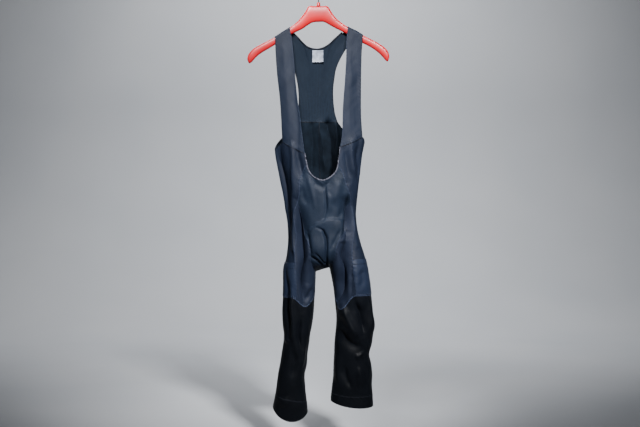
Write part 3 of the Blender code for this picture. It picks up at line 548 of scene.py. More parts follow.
def gusset():
    """From the front panel under the crotch to a point on the centre back."""
    share = (np.linspace(0, 1, PANEL_COLUMNS * FINE_COLUMNS + 1))[:, None]
    front_rows = fine(CROTCH_ROW, FINE_ROWS)[(SEAT_ROW + CROTCH_FRONT_ROW) * FINE_ROWS:]
    back_rows = fine(CROTCH_ROW, FINE_ROWS)[SEAT_ROW * FINE_ROWS:-1][::-1]
    ends = []
    for side in SIDES:
        nothing = np.zeros(1)
        drops = row_drops(side, nothing, nothing, front_rows)[:, 0]
        ahead = front_edge_points(side, drops)
        drops = row_drops(side, nothing, nothing, back_rows)[:, 0]
        drops = np.maximum(drops, GUSSET_POINT_DROP)
        ends.append(np.concatenate([ahead, lobe(side, inner_back_turn(side, drops), drops)]))
    return ends[0][:, None] * (1 - share) + ends[1][:, None] * share


def leg_turns(side):
    """Columns of the leg below the knee, the same as the panels' above it."""
    seam = float(side_turn(side, KNEE[side]["drop"]))
    side_turns, back_turns = rim_turns(side)
    side_shares = (side_turns - side_turns[0]) / (side_turns[-1] - side_turns[0])
    back_shares = (back_turns - back_turns[0]) / (back_turns[-1] - back_turns[0])
    front = np.linspace(LOW_TURN, seam, THIGH_COLUMNS * FINE_COLUMNS + 1)
    outer = seam + (BACK_SEAM_TURN - seam) * side_shares
    rear = BACK_SEAM_TURN + (HIGH_TURN - BACK_SEAM_TURN) * back_shares
    return np.array([*front, *outer[1:], *rear[1:]])


def tube(side, turns, tops, bottoms, rows):
    shares = np.linspace(0, 1, rows * FINE_ROWS + 1)[:, None]
    return seen_from_outside(side, lobe(side, turns, tops * (1 - shares) + bottoms * shares))


def lower_leg(side):
    turns = leg_turns(side)
    return tube(side, turns, knee_drop(side, turns), band_drop(CUFF[side], turns), LEG_ROWS)


def cuff(side):
    turns = leg_turns(side)
    hem = band_drop(HEM[side], turns, HEM_SAG_POWER)
    return tube(side, turns, band_drop(CUFF[side], turns), hem, CUFF_ROWS)


def strap_x(side, share, drop):
    outer, inner = smooth_read(STRAP_OUTER[side], drop), smooth_read(STRAP_INNER[side], drop)
    return outer * (1 - share) + inner * share


def strap(side):
    """From the back of the hanger's arm, over it and down to the chest seam."""
    bend = ARM_HALF_THICKNESS + STRAP_CLEARANCE
    share = np.linspace(0, 1, STRAP_COLUMNS * FINE_COLUMNS * 2 + 1)
    top_x = STRAP_OUTER[side][0][1] * (1 - share) + STRAP_INNER[side][0][1] * share
    axis = straight_read(HANGER, top_x) + ARM_HALF_THICKNESS
    turns = STRAP_TURN[side] * (1 - share) + NECK_TURN[side] * share
    chest = lobe(side, turns, rim_drop(side, turns))
    points = []
    for angle in np.linspace(0, math.pi, STRAP_BEND_ROWS * 2 + 1):
        y = np.full_like(share, bend * math.cos(angle))
        points.append(np.stack([top_x, y, bend * math.sin(angle) - axis], axis=-1))
    for down in np.linspace(0, 1, STRAP_ROWS * FINE_ROWS + 1)[1:]:
        drops = axis * (1 - down) - chest[:, 2] * down
        x = strap_x(side, share, drops)
        x += (top_x - strap_x(side, share, axis)) * (1 - down) ** 4
        x += (chest[:, 0] - strap_x(side, share, -chest[:, 2])) * down**4
        y = -bend * (1 - down) + chest[:, 1] * down
        points.append(np.stack([x, y, -drops], axis=-1))
    points = np.array(points)
    return points if side == "left" else points[:, ::-1]


def bib_top(place):
    """x and drop of the bib's top edge: shoulder, neckline, shoulder."""
    side = "left" if place < 0 else "right"
    if abs(place) <= BIB_SHOULDER:
        return float(smooth_read(BIB_NECK, place)), float(smooth_read(BIB_NECK, place, 2))
    out = (abs(place) - BIB_SHOULDER) / (1 - BIB_SHOULDER)
    x = STRAP_OUTER[side][0][1] * out + STRAP_INNER[side][0][1] * (1 - out)
    return float(x), float(straight_read(HANGER, x) + ARM_HALF_THICKNESS)


def back_bib(places, rows):
    """Columns at the given places across, -1 at the left edge and 1 at the right."""
    bend = ARM_HALF_THICKNESS + STRAP_CLEARANCE
    points = []
    for place in places:
        side = "left" if place < 0 else "right"
        top_x, top_drop = bib_top(place)
        foot = lobe(side, 180 - abs(place) * (180 - BIB_TURN[side]), WAIST_DROP)
        down = np.linspace(0, 1, rows + 1)
        drops = top_drop * (1 - down) + WAIST_DROP * down

        def across(drop):
            middle = smooth_read(((140, -2), (WAIST_DROP, 2)), drop)
            return middle + abs(place) * (smooth_read(BIB_EDGE[side], drop) - middle)

        x = across(drops) + (top_x - across(top_drop)) * (1 - down) ** 3
        x = x + (foot[0] - across(WAIST_DROP)) * down**3
        stand_off = NECK_STAND_OFF * max(0, 1 - (place / BIB_SHOULDER) ** 2)
        y = (bend + stand_off) * (1 - down) + foot[1] * down
        points.append(np.stack([x, y, -drops], axis=-1))
    return np.array(points).transpose(1, 0, 2)[:, ::-1]


def between(grid, rows, columns):
    """Points of a panel's own cells at fractions of a row and a column."""
    low_rows = np.minimum(rows.astype(int), grid.shape[0] - 2)
    low_columns = np.minimum(columns.astype(int), grid.shape[1] - 2)
    down, across = (rows - low_rows)[:, None, None], (columns - low_columns)[None, :, None]
    top = grid[low_rows][:, low_columns] * (1 - across) + grid[low_rows][:, low_columns + 1] * across
    low = grid[low_rows + 1][:, low_columns] * (1 - across)
    low = low + grid[low_rows + 1][:, low_columns + 1] * across
    return top * (1 - down) + low * down


def cell_normals(points):
    return np.cross(points[1:, 1:] - points[:-1, :-1], points[:-1, 1:] - points[1:, :-1])


def shared_normals(patches):
    """Normals averaged over every panel that meets at a point, so that walls meet squarely at seams."""
    grids = list(patches.values())
    places = np.concatenate([points.reshape(-1, 3) for points in grids])
    keys = np.round(places * 50).astype(np.int64)
    _, index = np.unique(keys, axis=0, return_inverse=True)
    index = index.reshape(-1)
    total = np.zeros((index.max() + 1, 3))
    start = 0
    for points in grids:
        rows, columns = points.shape[:2]
        numbers = index[start:start + rows * columns].reshape(rows, columns)
        cross = cell_normals(points)
        for corner in (numbers[:-1, :-1], numbers[1:, :-1], numbers[:-1, 1:], numbers[1:, 1:]):
            np.add.at(total, corner.ravel(), cross.reshape(-1, 3))
        start += rows * columns
    found = {}
    start = 0
    for name, points in patches.items():
        rows, columns = points.shape[:2]
        normals = total[index[start:start + rows * columns]].reshape(rows, columns, 3)
        found[name] = normals / np.maximum(np.linalg.norm(normals, axis=-1, keepdims=True), 1e-9)
        start += rows * columns
    return found


def crease_height(creases, x, drop):
    """Height of the cloth above its plain form, from a table's creases. The deepest are the sharpest."""
    total = np.zeros(x.shape)
    for half_width, height, lean, start, end, places in creases:
        lengths = [math.dist(a, b) for a, b in zip(places, places[1:])]
        run = sum(lengths)
        nearest = np.full(x.shape, np.inf)
        along = np.zeros(x.shape)
        side = np.zeros(x.shape)
        gone = 0
        for (x0, drop0), (x1, drop1), length in zip(places, places[1:], lengths):
            t = np.clip(((x - x0) * (x1 - x0) + (drop - drop0) * (drop1 - drop0)) / length**2, 0, 1)
            away_x, away_drop = x - x0 - t * (x1 - x0), drop - drop0 - t * (drop1 - drop0)
            away = away_x**2 + away_drop**2
            closer = away < nearest
            nearest = np.where(closer, away, nearest)
            along = np.where(closer, (gone + t * length) / run, along)
            side = np.where(closer, np.sign((x1 - x0) * away_drop - (drop1 - drop0) * away_x), side)
            gone += length
        strength = start + (1 - start) * eased(along, 0, 0.3)
        strength *= end + (1 - end) * eased(1 - along, 0, 0.35)
        width = half_width * (1 + lean * side) * (0.85 + 0.3 * strength)
        roundness = 2 - 0.6 * eased(abs(height), 5, 12)
        total += CREASE_DEPTH * height * strength * np.exp(-((np.sqrt(nearest) / width) ** roundness))
    return total


def pad_height(x, drop):
    """The seat pad behind the front holds the cloth out, with a steep upper edge and soft lower sides."""
    outline = np.array(PAD_OUTLINE, float)
    nearest = np.full(x.shape, np.inf)
    inside = np.zeros(x.shape, bool)
    for (x0, drop0), (x1, drop1) in zip(outline, np.roll(outline, -1, axis=0)):
        length = (x1 - x0) ** 2 + (drop1 - drop0) ** 2
        t = np.clip(((x - x0) * (x1 - x0) + (drop - drop0) * (drop1 - drop0)) / length, 0, 1)
        nearest = np.minimum(nearest, np.hypot(x - x0 - t * (x1 - x0), drop - drop0 - t * (drop1 - drop0)))
        crosses = (drop0 > drop) != (drop1 > drop)
        at = x0 + (drop - drop0) * (x1 - x0) / np.where(drop1 == drop0, 1, drop1 - drop0)
        inside ^= crosses & (x < at)
    from_edge = np.where(inside, nearest, -nearest)
    step = PAD_STEP * (1 + 1.6 * eased(drop, 745, 800))
    return PAD_RISE * eased(from_edge, -step / 2, step)


def waves(points, seed, size, height, count=14):
    """Soft uneven waves of about one size over the points, the same on each run."""
    random = np.random.default_rng(seed)
    angles = random.uniform(0, 2 * math.pi, count)
    sizes = size * random.uniform(0.7, 1.6, count)
    phases = random.uniform(0, 2 * math.pi, count)
    total = np.zeros(points.shape[:-1])
    for angle, length, phase in zip(angles, sizes, phases):
        along = points[..., 0] * math.cos(angle) + points[..., 2] * math.sin(angle) * 0.6
        total += np.sin(2 * math.pi * (along + points[..., 1] * 0.7) / length + phase)
    return total / math.sqrt(count / 2) * height


def creased(points, normals):
    """The cloth's points moved out or in by the creases and by slight waves. The front's creases end where
    the cloth turns away from the front, and the back's in the same way."""
    x, drop = points[..., 0], -points[..., 2]
    wander, rise = (waves(points, *wave) for wave in CREASE_WANDER)
    ahead = eased(-normals[..., 1], *FACING) * (points[..., 1] < 0)
    behind = eased(normals[..., 1], *FACING) * (points[..., 1] > 0)
    height = ahead * crease_height(FRONT_CREASES, x + wander, drop + rise)
    height += ahead * pad_height(x + wander * PAD_WANDER, drop + rise * PAD_WANDER)
    height += behind * crease_height(BACK_CREASES, x + wander, drop + rise)
    height += sum(waves(points, *wave) for wave in CLOTH_WAVES)
    height += seam_pucker(points)
    return points + normals * height[..., None]


def seam_pucker(points):
    """Small even ripples that a stitched seam draws up along each edge of a panel."""
    rows, columns = points.shape[:2]
    across, down = flat_sizes(points)
    across = across - across[:, :1]
    from_sides = np.minimum(across, across[:, -1:] - across)
    from_ends = np.minimum(down, down[-1:] - down)
    away = np.minimum(from_sides, from_ends)
    ripple = np.sin(2 * math.pi * (points[..., 2] + 0.8 * points[..., 0]) / PUCKER_LENGTH)
    return PUCKER_HEIGHT * ripple * np.exp(-(away / PUCKER_REACH) ** 2)


def flat_sizes(points):
    """Distance across from the middle column and down from the top row, in millimetres."""
    across = np.linalg.norm(np.diff(points, axis=1), axis=-1)
    across = np.concatenate([np.zeros((points.shape[0], 1)), np.cumsum(across, axis=1)], axis=1)
    across -= across[:, across.shape[1] // 2][:, None]
    down = np.linalg.norm(np.diff(points, axis=0), axis=-1)
    down = np.concatenate([np.zeros((1, points.shape[1])), np.cumsum(down, axis=0)], axis=0)
    return across, down


def drawn_in(points, normals, closed, gap):
    """The panel with each cut edge moved in by half the gap that a seam keeps."""
    moved = points.copy()
    edges = [(0, 1, 0), (-1, -2, 0)] + ([] if closed else [(0, 1, 1), (-1, -2, 1)])
    for edge, inside, axis in edges:
        line = points[edge] if axis == 0 else points[:, edge]
        within = points[inside] if axis == 0 else points[:, inside]
        facing = normals[edge] if axis == 0 else normals[:, edge]
        inward = np.cross(facing, np.gradient(line, axis=0))
        inward /= np.maximum(np.linalg.norm(inward, axis=-1, keepdims=True), 1e-9)
        inward *= np.sign(np.sum(inward * (within - line), axis=-1, keepdims=True))
        if axis == 0:
            moved[edge] += inward * gap / 2
        else:
            moved[:, edge] += inward * gap / 2
    return moved


def round_angles(count):
    return 2 * math.pi * np.arange(count) / count


def add_mesh(name, points, faces, finish, uvs=None, inside=None, inside_faces=0):
    """A mesh object from points in millimetres, with one pair of pattern sizes in metres for each point.
    The last inside_faces of its faces take the inside finish."""
    mesh = bpy.data.meshes.new(name)
    mesh.from_pydata([tuple(p) for p in np.asarray(points) * MM], [], faces)
    mesh.update()
    if uvs is not None:
        layer = mesh.uv_layers.new(name="cut")
        index = np.zeros(len(mesh.loops), np.int32)
        mesh.loops.foreach_get("vertex_index", index)
        layer.data.foreach_set("uv", (np.asarray(uvs) * MM)[index].astype(np.float32).ravel())
    shell = bmesh.new()
    shell.from_mesh(mesh)
    bmesh.ops.recalc_face_normals(shell, faces=shell.faces)
    shell.to_mesh(mesh)
    shell.free()
    mesh.shade_smooth()
    mesh.set_sharp_from_angle(angle=math.radians(SHARP_ANGLE))
    mesh.materials.append(finish)
    if inside:
        mesh.materials.append(inside)
        which = np.zeros(len(mesh.polygons), np.int32)
        which[len(which) - inside_faces:] = 1
        mesh.polygons.foreach_set("material_index", which)
    made = bpy.data.objects.new(name, mesh)
    bpy.context.scene.collection.objects.link(made)
    return made


def grid_faces(rows, columns, closed, start=0, turned=False):
    faces = []
    for i in range(rows - 1):
        for j in range(columns if closed else columns - 1):
            k = (j + 1) % columns
            corners = (i * columns + j, (i + 1) * columns + j, (i + 1) * columns + k, i * columns + k)
            corners = tuple(start + c for c in corners)
            faces.append(corners[::-1] if turned else corners)
    return faces


def add_wall(name, points, normals, closed, thickness, finish, inside=None, gap=SEAM_GAP):
    """A thin shell of cloth: the panel's points moved half the thickness out and in, joined at the edges."""
    points = drawn_in(points, normals, closed, gap)
    across, down = flat_sizes(points)
    uv = np.stack([across, down], axis=-1)
    if closed:
        points, normals, uv = points[:, :-1], normals[:, :-1], uv[:, :-1]
    rows, columns = points.shape[:2]
    count = rows * columns
    everything = np.concatenate([
        (points + normals * thickness / 2).reshape(-1, 3), (points - normals * thickness / 2).reshape(-1, 3)
    ])
    faces = grid_faces(rows, columns, closed)
    steps = range(columns if closed else columns - 1)
    for i in (0, rows - 1):
        for j in steps:
            a, b = i * columns + j, i * columns + (j + 1) % columns
            faces.append((a, b, b + count, a + count))
    if not closed:
        for j in (0, columns - 1):
            for i in range(rows - 1):
                a, b = i * columns + j, (i + 1) * columns + j
                faces.append((a, b, b + count, a + count))
    inner = grid_faces(rows, columns, closed, count, True)
    uvs = np.concatenate([uv.reshape(-1, 2)] * 2)
    return add_mesh(name, everything, faces + inner, finish, uvs, inside=inside, inside_faces=len(inner))


def linear(hex_colour):
    """A colour written as in a paint chart, turned to the renderer's linear values."""
    values = [int(hex_colour[i:i + 2], 16) / 255 for i in (1, 3, 5)]
    return (*[v / 12.92 if v <= 0.04045 else ((v + 0.055) / 1.055) ** 2.4 for v in values], 1)


def add_node(tree, kind, inputs=(), stops=(), **settings):
    """One node with its settings, its links and a ramp's colour stops. An input is a number or a node."""
    made = tree.nodes.new("ShaderNode" + kind)
    for name, value in settings.items():
        setattr(made, name, value)
    for name, value in dict(inputs).items():
        if isinstance(value, bpy.types.Node):
            value = value.outputs[0]
        if isinstance(value, bpy.types.NodeSocket):
            tree.links.new(value, made.inputs[name])
        else:
            made.inputs[name].default_value = value
    for stop, (place, colour) in zip(made.color_ramp.elements if stops else (), stops):
        stop.position = place
        stop.color = linear(colour)
    return made


def new_finish(name, hard=False, **sockets):
    """A material with the shader's own sockets set, its node tree, and where its pattern is read: along the
    cut piece, or in space for a hard piece."""
    made = bpy.data.materials.new(name)
    made.use_nodes = True
    tree = made.node_tree
    for socket, value in sockets.items():
        tree.nodes["Principled BSDF"].inputs[socket.replace("_", " ")].default_value = value
    place = add_node(tree, "TexCoord").outputs["Object"] if hard else add_node(tree, "UVMap", uv_map="cut")
    return made, tree, place


def dressed(made, shade, stops, relief=None, strength=0.5, depth_mm=0.1, rough=None):
    """The finished material: its shade turned into colour, its relief into a bump, and its wear linked."""
    tree = made.node_tree
    nodes = {"Base Color": add_node(tree, "ValToRGB", {"Fac": shade}, stops=stops)}
    if relief is not None:
        bump = {"Height": relief, "Strength": strength, "Distance": depth_mm * MM}
        nodes["Normal"] = add_node(tree, "Bump", bump)
    if rough is not None:
        nodes["Roughness"] = rough
    for socket, node in nodes.items():
        tree.links.new(node.outputs[0], tree.nodes["Principled BSDF"].inputs[socket])
    return made


def lines_of(tree, along, size_mm):
    """Lines at an even distance, as a wave between -1 and 1."""
    turn = add_node(tree, "Math", {0: along, 1: 2 * math.pi / (size_mm * MM)}, operation="MULTIPLY")
    return add_node(tree, "Math", {0: turn}, operation="SINE")


def loops_of(tree, cut, wale_mm, course_mm):
    """Height of knitted loops: lines down the cut piece that bend at each course."""
    axes = add_node(tree, "SeparateXYZ", {"Vector": cut})
    bend = lines_of(tree, axes.outputs["Y"], course_mm)
    wale = {0: axes.outputs["X"], 1: 2 * math.pi / (wale_mm * MM), 2: bend}
    loop = add_node(tree, "Math", wale, operation="MULTIPLY_ADD")
    return add_node(tree, "Math", {0: loop}, operation="SINE")


def knit(name, dark, light, shine=0.16, roughness=0.54, sheen=0.01):
    """Warp knit of fine polyamide and elastane yarn, dyed in the piece: a soft shine along the wales, and
    small shifts of shade between yarns. The real wales are 0.5 mm apart, drawn at 1.6 mm to be seen."""
    made, tree, cut = new_finish(
        name, Specular_IOR_Level=shine, Sheen_Weight=sheen, Sheen_Roughness=0.4, Sheen_Tint=linear("#7E8CB4")
    )
    loops = loops_of(tree, cut, 1.6, 1.2)
    dye = add_node(tree, "TexNoise", {"Vector": cut, "Scale": 12, "Detail": 2})
    yarn = add_node(tree, "TexNoise", {"Vector": cut, "Scale": 420, "Detail": 2, "Roughness": 0.7})
    broad = add_node(tree, "Math", {0: dye, 1: 0.35}, operation="MULTIPLY")
    mixed = add_node(tree, "Math", {0: yarn, 1: 0.6, 2: broad}, operation="MULTIPLY_ADD")
    shade = add_node(tree, "Math", {0: loops, 1: 0.1, 2: mixed}, operation="MULTIPLY_ADD")
    worn = {"Value": yarn, "From Min": 0.3, "From Max": 0.7}
    worn.update({"To Min": roughness - 0.05, "To Max": roughness + 0.08})
    rough = add_node(tree, "MapRange", worn)
    height = add_node(tree, "Math", {0: loops, 1: 0.5, 2: yarn}, operation="MULTIPLY_ADD")
    return dressed(made, shade, ((0.25, dark), (0.7, light)), height, 0.5, 0.15, rough)


def brushed_fleece(name, dark, light):
    """The inside of the thermal knit, brushed to a short nap: no shine, and cloudy as the nap turns."""
    made, tree, cut = new_finish(
        name, Roughness=0.95, Specular_IOR_Level=0.06, Sheen_Weight=0.02, Sheen_Roughness=0.6,
        Sheen_Tint=linear("#8C94A8"),
    )
    cloud = add_node(tree, "TexNoise", {"Vector": cut, "Scale": 40, "Detail": 3})
    nap = add_node(tree, "TexNoise", {"Vector": cut, "Scale": 900, "Detail": 2, "Roughness": 0.6})
    return dressed(made, cloud, ((0.3, dark), (0.7, light)), nap, 0.4, 0.1)


def eyelet_mesh(name, dark, light):
    """Open warp knit of the bib: rows of pinholes, seen as dark dots in a matt cloth. The real holes are
    2 mm apart, drawn at 5 mm so that they show."""
    made, tree, cut = new_finish(
        name, Roughness=0.7, Specular_IOR_Level=0.14, Sheen_Weight=0.02, Sheen_Roughness=0.4,
        Sheen_Tint=linear("#7E8CB4"),
    )
    loops = loops_of(tree, cut, 2.5, 5)
    holes = add_node(tree, "TexVoronoi", {"Vector": cut, "Scale": 1 / (5 * MM), "Randomness": 0.1})
    edge = {"Value": holes, "From Min": 0.14, "From Max": 0.34}
    thread = add_node(tree, "MapRange", edge)
    yarn = add_node(tree, "TexNoise", {"Vector": cut, "Scale": 300, "Detail": 3})
    shade = add_node(tree, "Math", {0: thread, 1: yarn}, operation="MULTIPLY")
    height = add_node(tree, "Math", {0: loops, 1: 0.2, 2: thread}, operation="MULTIPLY_ADD")
    return dressed(made, shade, ((0.0, dark), (0.6, light)), height, 0.6, 0.3)


def covered_seam(name, cloth, thread, stitch_mm):
    """Flatlock seam: looper threads cross it in slanting pairs, a little shinier than the cloth."""
    made, tree, cut = new_finish(name, Roughness=0.5, Specular_IOR_Level=0.14)
    axes = add_node(tree, "SeparateXYZ", {"Vector": cut})
    slanting = {0: axes.outputs["X"], 1: 0.6, 2: axes.outputs["Y"]}
    slant = add_node(tree, "Math", slanting, operation="MULTIPLY_ADD")
    threads = lines_of(tree, slant, stitch_mm)
    return dressed(made, threads, ((0.1, cloth), (0.7, thread)), threads, 0.6, 0.25)


def folded_elastic(name, dark, light, rib_mm):
    """Woven elastic folded over the edge: close ribs across it, so that it glints in short dashes."""
    made, tree, cut = new_finish(name, Roughness=0.55, Specular_IOR_Level=0.2)
    axes = add_node(tree, "SeparateXYZ", {"Vector": cut})
    ribs = lines_of(tree, axes.outputs["Y"], rib_mm)
    lint = add_node(tree, "TexNoise", {"Vector": cut, "Scale": 160, "Detail": 3})
    shade = add_node(tree, "Math", {0: ribs, 1: 0.16, 2: lint}, operation="MULTIPLY_ADD")
    return dressed(made, shade, ((0.3, dark), (0.7, light)), ribs, 0.6, 0.2)


def woven_satin(name, dark, light):
    """Label of woven polyester satin: long floats give it a soft silver shine with fine cross lines."""
    made, tree, cut = new_finish(name, Roughness=0.34, Specular_IOR_Level=0.6, Anisotropic=0.5)
    floats = loops_of(tree, cut, 0.9, 0.7)
    cloud = add_node(tree, "TexNoise", {"Vector": cut, "Scale": 70, "Detail": 2})
    shade = add_node(tree, "Math", {0: floats, 1: 0.15, 2: cloud}, operation="MULTIPLY_ADD")
    return dressed(made, shade, ((0.3, dark), (0.7, light)), floats, 0.5, 0.08)


def moulded_plastic(name, colour, deep):
    """Polystyrene, injection moulded and glossy: its skin ripples very slightly where the plastic flowed."""
    made, tree, place = new_finish(name, hard=True, IOR=1.59, Coat_Weight=0.2, Coat_Roughness=0.3)
    flow = add_node(tree, "TexNoise", {"Vector": place, "Scale": 14, "Detail": 2})
    marks = add_node(tree, "TexNoise", {"Vector": place, "Scale": 160, "Detail": 3, "Roughness": 0.6})
    worn = {"Value": marks, "From Min": 0.35, "From Max": 0.75, "To Min": 0.36, "To Max": 0.44}
    rough = add_node(tree, "MapRange", worn)
    return dressed(made, flow, ((0.3, deep), (0.7, colour)), flow, 0.2, 1.0, rough)


def plated_wire(name, dull, bright):
    """Drawn steel wire, nickel plated: bright, with dull spots."""
    made, tree, place = new_finish(name, hard=True, Metallic=1.0)
    spots = add_node(tree, "TexNoise", {"Vector": place, "Scale": 300, "Detail": 4})
    worn = {"Value": spots, "From Min": 0.3, "From Max": 0.7, "To Min": 0.4, "To Max": 0.22}
    rough = add_node(tree, "MapRange", worn)
    return dressed(made, spots, ((0.3, dull), (0.7, bright)), spots, 0.2, 0.05, rough)


def painted_paper(name):
    """Studio floor and backdrop: one matt pale sheet."""
    made, tree, place = new_finish(name, hard=True, Roughness=0.9, Specular_IOR_Level=0.15)
    cloud = add_node(tree, "TexNoise", {"Vector": place, "Scale": 1.2, "Detail": 2})
    return dressed(made, cloud, ((0.3, "#C9CDD3"), (0.7, "#D2D5DA")))


def loft(name, rings, finish, uvs=None, closed=False):
    """A solid through rings of equally many points, its ends capped or joined."""
    count = len(rings[0])
    points = np.concatenate([*rings])
    faces = grid_faces(len(rings), count, True)
    if closed:
        last = (len(rings) - 1) * count
        faces += [(last + j, j, (j + 1) % count, last + (j + 1) % count) for j in range(count)]
    else:
        faces.append(tuple(range(count)))
        faces.append(tuple(range(len(points) - count, len(points))))
    return add_mesh(name, points, faces, finish, uvs)


def even_line(line, normals, step, closed=False):
    """The same line with points an even distance apart."""
    if closed:
        line, normals = np.concatenate([line, line[:1]]), np.concatenate([normals, normals[:1]])
    gone = np.concatenate([[0], np.cumsum(np.linalg.norm(np.diff(line, axis=0), axis=1))])
    count = max(4, int(gone[-1] / step))
    at = np.linspace(0, gone[-1], count + 1)
    if closed:
        at = at[:-1]
    read = np.stack([np.interp(at, gone, line[:, i]) for i in range(3)], axis=1)
    facing = np.stack([np.interp(at, gone, normals[:, i]) for i in range(3)], axis=1)
    for _ in range(BAND_SMOOTHING):
        for values in (read, facing):
            if closed:
                values[:] = (np.roll(values, 1, axis=0) + 2 * values + np.roll(values, -1, axis=0)) / 4
            else:
                values[1:-1] = (values[:-2] + 2 * values[1:-1] + values[2:]) / 4
    facing /= np.linalg.norm(facing, axis=1, keepdims=True)
    return read, facing, at


def sewn_on(name, trim, line, finish, slot, *nodes, opening=None, closed=False):
    """An oval band along a line on the cloth. One that binds the edge of an opening lies past that edge,
    towards the opening's middle."""
    half_width, half_thickness, step, beads = TRIMS[trim]
    line, normals, gone = even_line(*line, step, closed)
    if closed:
        along = np.roll(line, -1, axis=0) - np.roll(line, 1, axis=0)
    else:
        along = np.gradient(line, axis=0)
    across = np.cross(normals, along)
    across /= np.maximum(np.linalg.norm(across, axis=-1, keepdims=True), 1e-9)
    if opening is not None:
        across *= np.sign(np.sum(across * (np.array(opening) - line), axis=-1, keepdims=True))
        line = line + across * (half_width - BINDING_LAP)
    rings, uvs = [], []
    for number, (c, w, n, s) in enumerate(zip(line, across, normals, gone)):
        grow = 1 + beads * (1 if number % 2 else -1)
        for a in round_angles(BAND_SIDES):
            rings.append(c + w * half_width * math.cos(a) + n * half_thickness * grow * math.sin(a))
            uvs.append((half_width * math.cos(a), s))
    rings = np.array(rings).reshape(len(line), BAND_SIDES, 3)
    return keep(loft(name, rings, finish, np.array(uvs), closed), slot, *nodes)


def hanger_moulding(finish):
    """One moulding. Its section is a soft-cornered oblong with a fine parting line round its edge."""
    known = np.array([row[0] for row in HANGER], float)
    steps = np.concatenate([np.linspace(a, b, 7)[:-1] for a, b in zip(known, known[1:])] + [known[-1:]])
    angles = round_angles(48)
    power = 2 / HANGER_ROUND
    ahead = np.sign(np.cos(angles)) * np.abs(np.cos(angles)) ** power
    up = np.sign(np.sin(angles)) * np.abs(np.sin(angles)) ** power
    parting = np.where(np.abs(np.abs(np.sin(angles)) - 1) < 1e-6, 0.12, 0)
    rings = []
    for x in steps:
        top, low = (float(smooth_read(HANGER, x, column)) for column in (1, 2))
        thickness = float(straight_read(HANGER, x, 3))
        centre, half_height = -(top + low) / 2, (low - top) / 2
        rings.append(np.stack([
            np.full_like(ahead, x), ahead * thickness / 2, centre + up * (half_height + parting)
        ], axis=-1))
    return loft("hanger_moulding", rings, finish)


def wire_hook(finish):
    """Stem, bend and crook of one steel wire with a rounded tip."""
    low = COLLAR_DROPS[0] - SEAM_GAP
    crook_centre = -(CROOK_RADIUS - WIRE / 2)
    reach = CROOK_RADIUS * math.sin(math.radians(STEM_BEND))
    bend_start = crook_centre - 2 * reach
    places = [(0, -low), (0, (bend_start - low) / 2)]
    for angle in np.radians(np.linspace(0, STEM_BEND, 15)):
        places.append((CROOK_RADIUS * (1 - math.cos(angle)), bend_start + CROOK_RADIUS * math.sin(angle)))
    for angle in np.radians(np.linspace(-STEM_BEND, CROOK_END_TURN, 61))[1:]:
        places.append((CROOK_RADIUS * math.cos(angle), crook_centre + CROOK_RADIUS * math.sin(angle)))
    places = np.array(places)
    along = np.gradient(places, axis=0)
    along /= np.linalg.norm(along, axis=1, keepdims=True)
    radii = np.full(len(places), WIRE / 2)
    radii[-2:] *= WIRE_TIP
    rings = []
    for radius, (y, z), (ay, az) in zip(radii, places, along):
        around = [(radius * math.cos(a), radius * math.sin(a)) for a in round_angles(18)]
        rings.append(np.array([(across, y - az * up, z + ay * up) for across, up in around]))
    return loft("wire_hook", rings, finish)


def hook_socket(finish):
    """The moulded collar that the wire goes into, turned round the stem."""
    top, low = COLLAR_DROPS
    profile = (
        (2.0, top), (COLLAR_TOP_RADIUS - 0.8, top), (COLLAR_TOP_RADIUS, top + 0.8),
        (COLLAR_TOP_RADIUS + 0.35, top + 4), (COLLAR_RADIUS - 0.2, low - 2.6), (COLLAR_RADIUS, low - 2),
        (COLLAR_RADIUS, low - 0.5), (COLLAR_RADIUS - 0.5, low),
    )
    rings = [
        np.array([(radius * math.cos(a), radius * math.sin(a), -drop) for a in round_angles(36)])
        for radius, drop in profile
    ]
    return loft("hook_socket", rings, finish)


def all_patches():
    patches = {"front_panel": front_panel(), "gusset": gusset()}
    for side in SIDES:
        side_columns, back_columns = rim_turns(side)
        patches["side_panel_" + side] = wide_panel(side, side_columns, side_turn, back_seam_turn)
        patches["back_panel_" + side] = wide_panel(side, back_columns, back_seam_turn, inner_back_turn)
        patches["thigh_front_" + side] = thigh_front(side)
        patches["lower_leg_" + side] = lower_leg(side)
        patches["cuff_" + side] = cuff(side)
        patches["strap_" + side] = strap(side)
    places = np.linspace(-1, 1, BIB_COLUMNS * BIB_FINE_COLUMNS + 1)
    patches["back_bib"] = back_bib(places, BIB_ROWS * FINE_ROWS)
    return patches


def keep(made, slot, *nodes):
    """The piece rides with the one body and stands for its plain solids. Its slot is not used."""
    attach(made, "root")
    if nodes:
        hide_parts(*nodes)
    return made


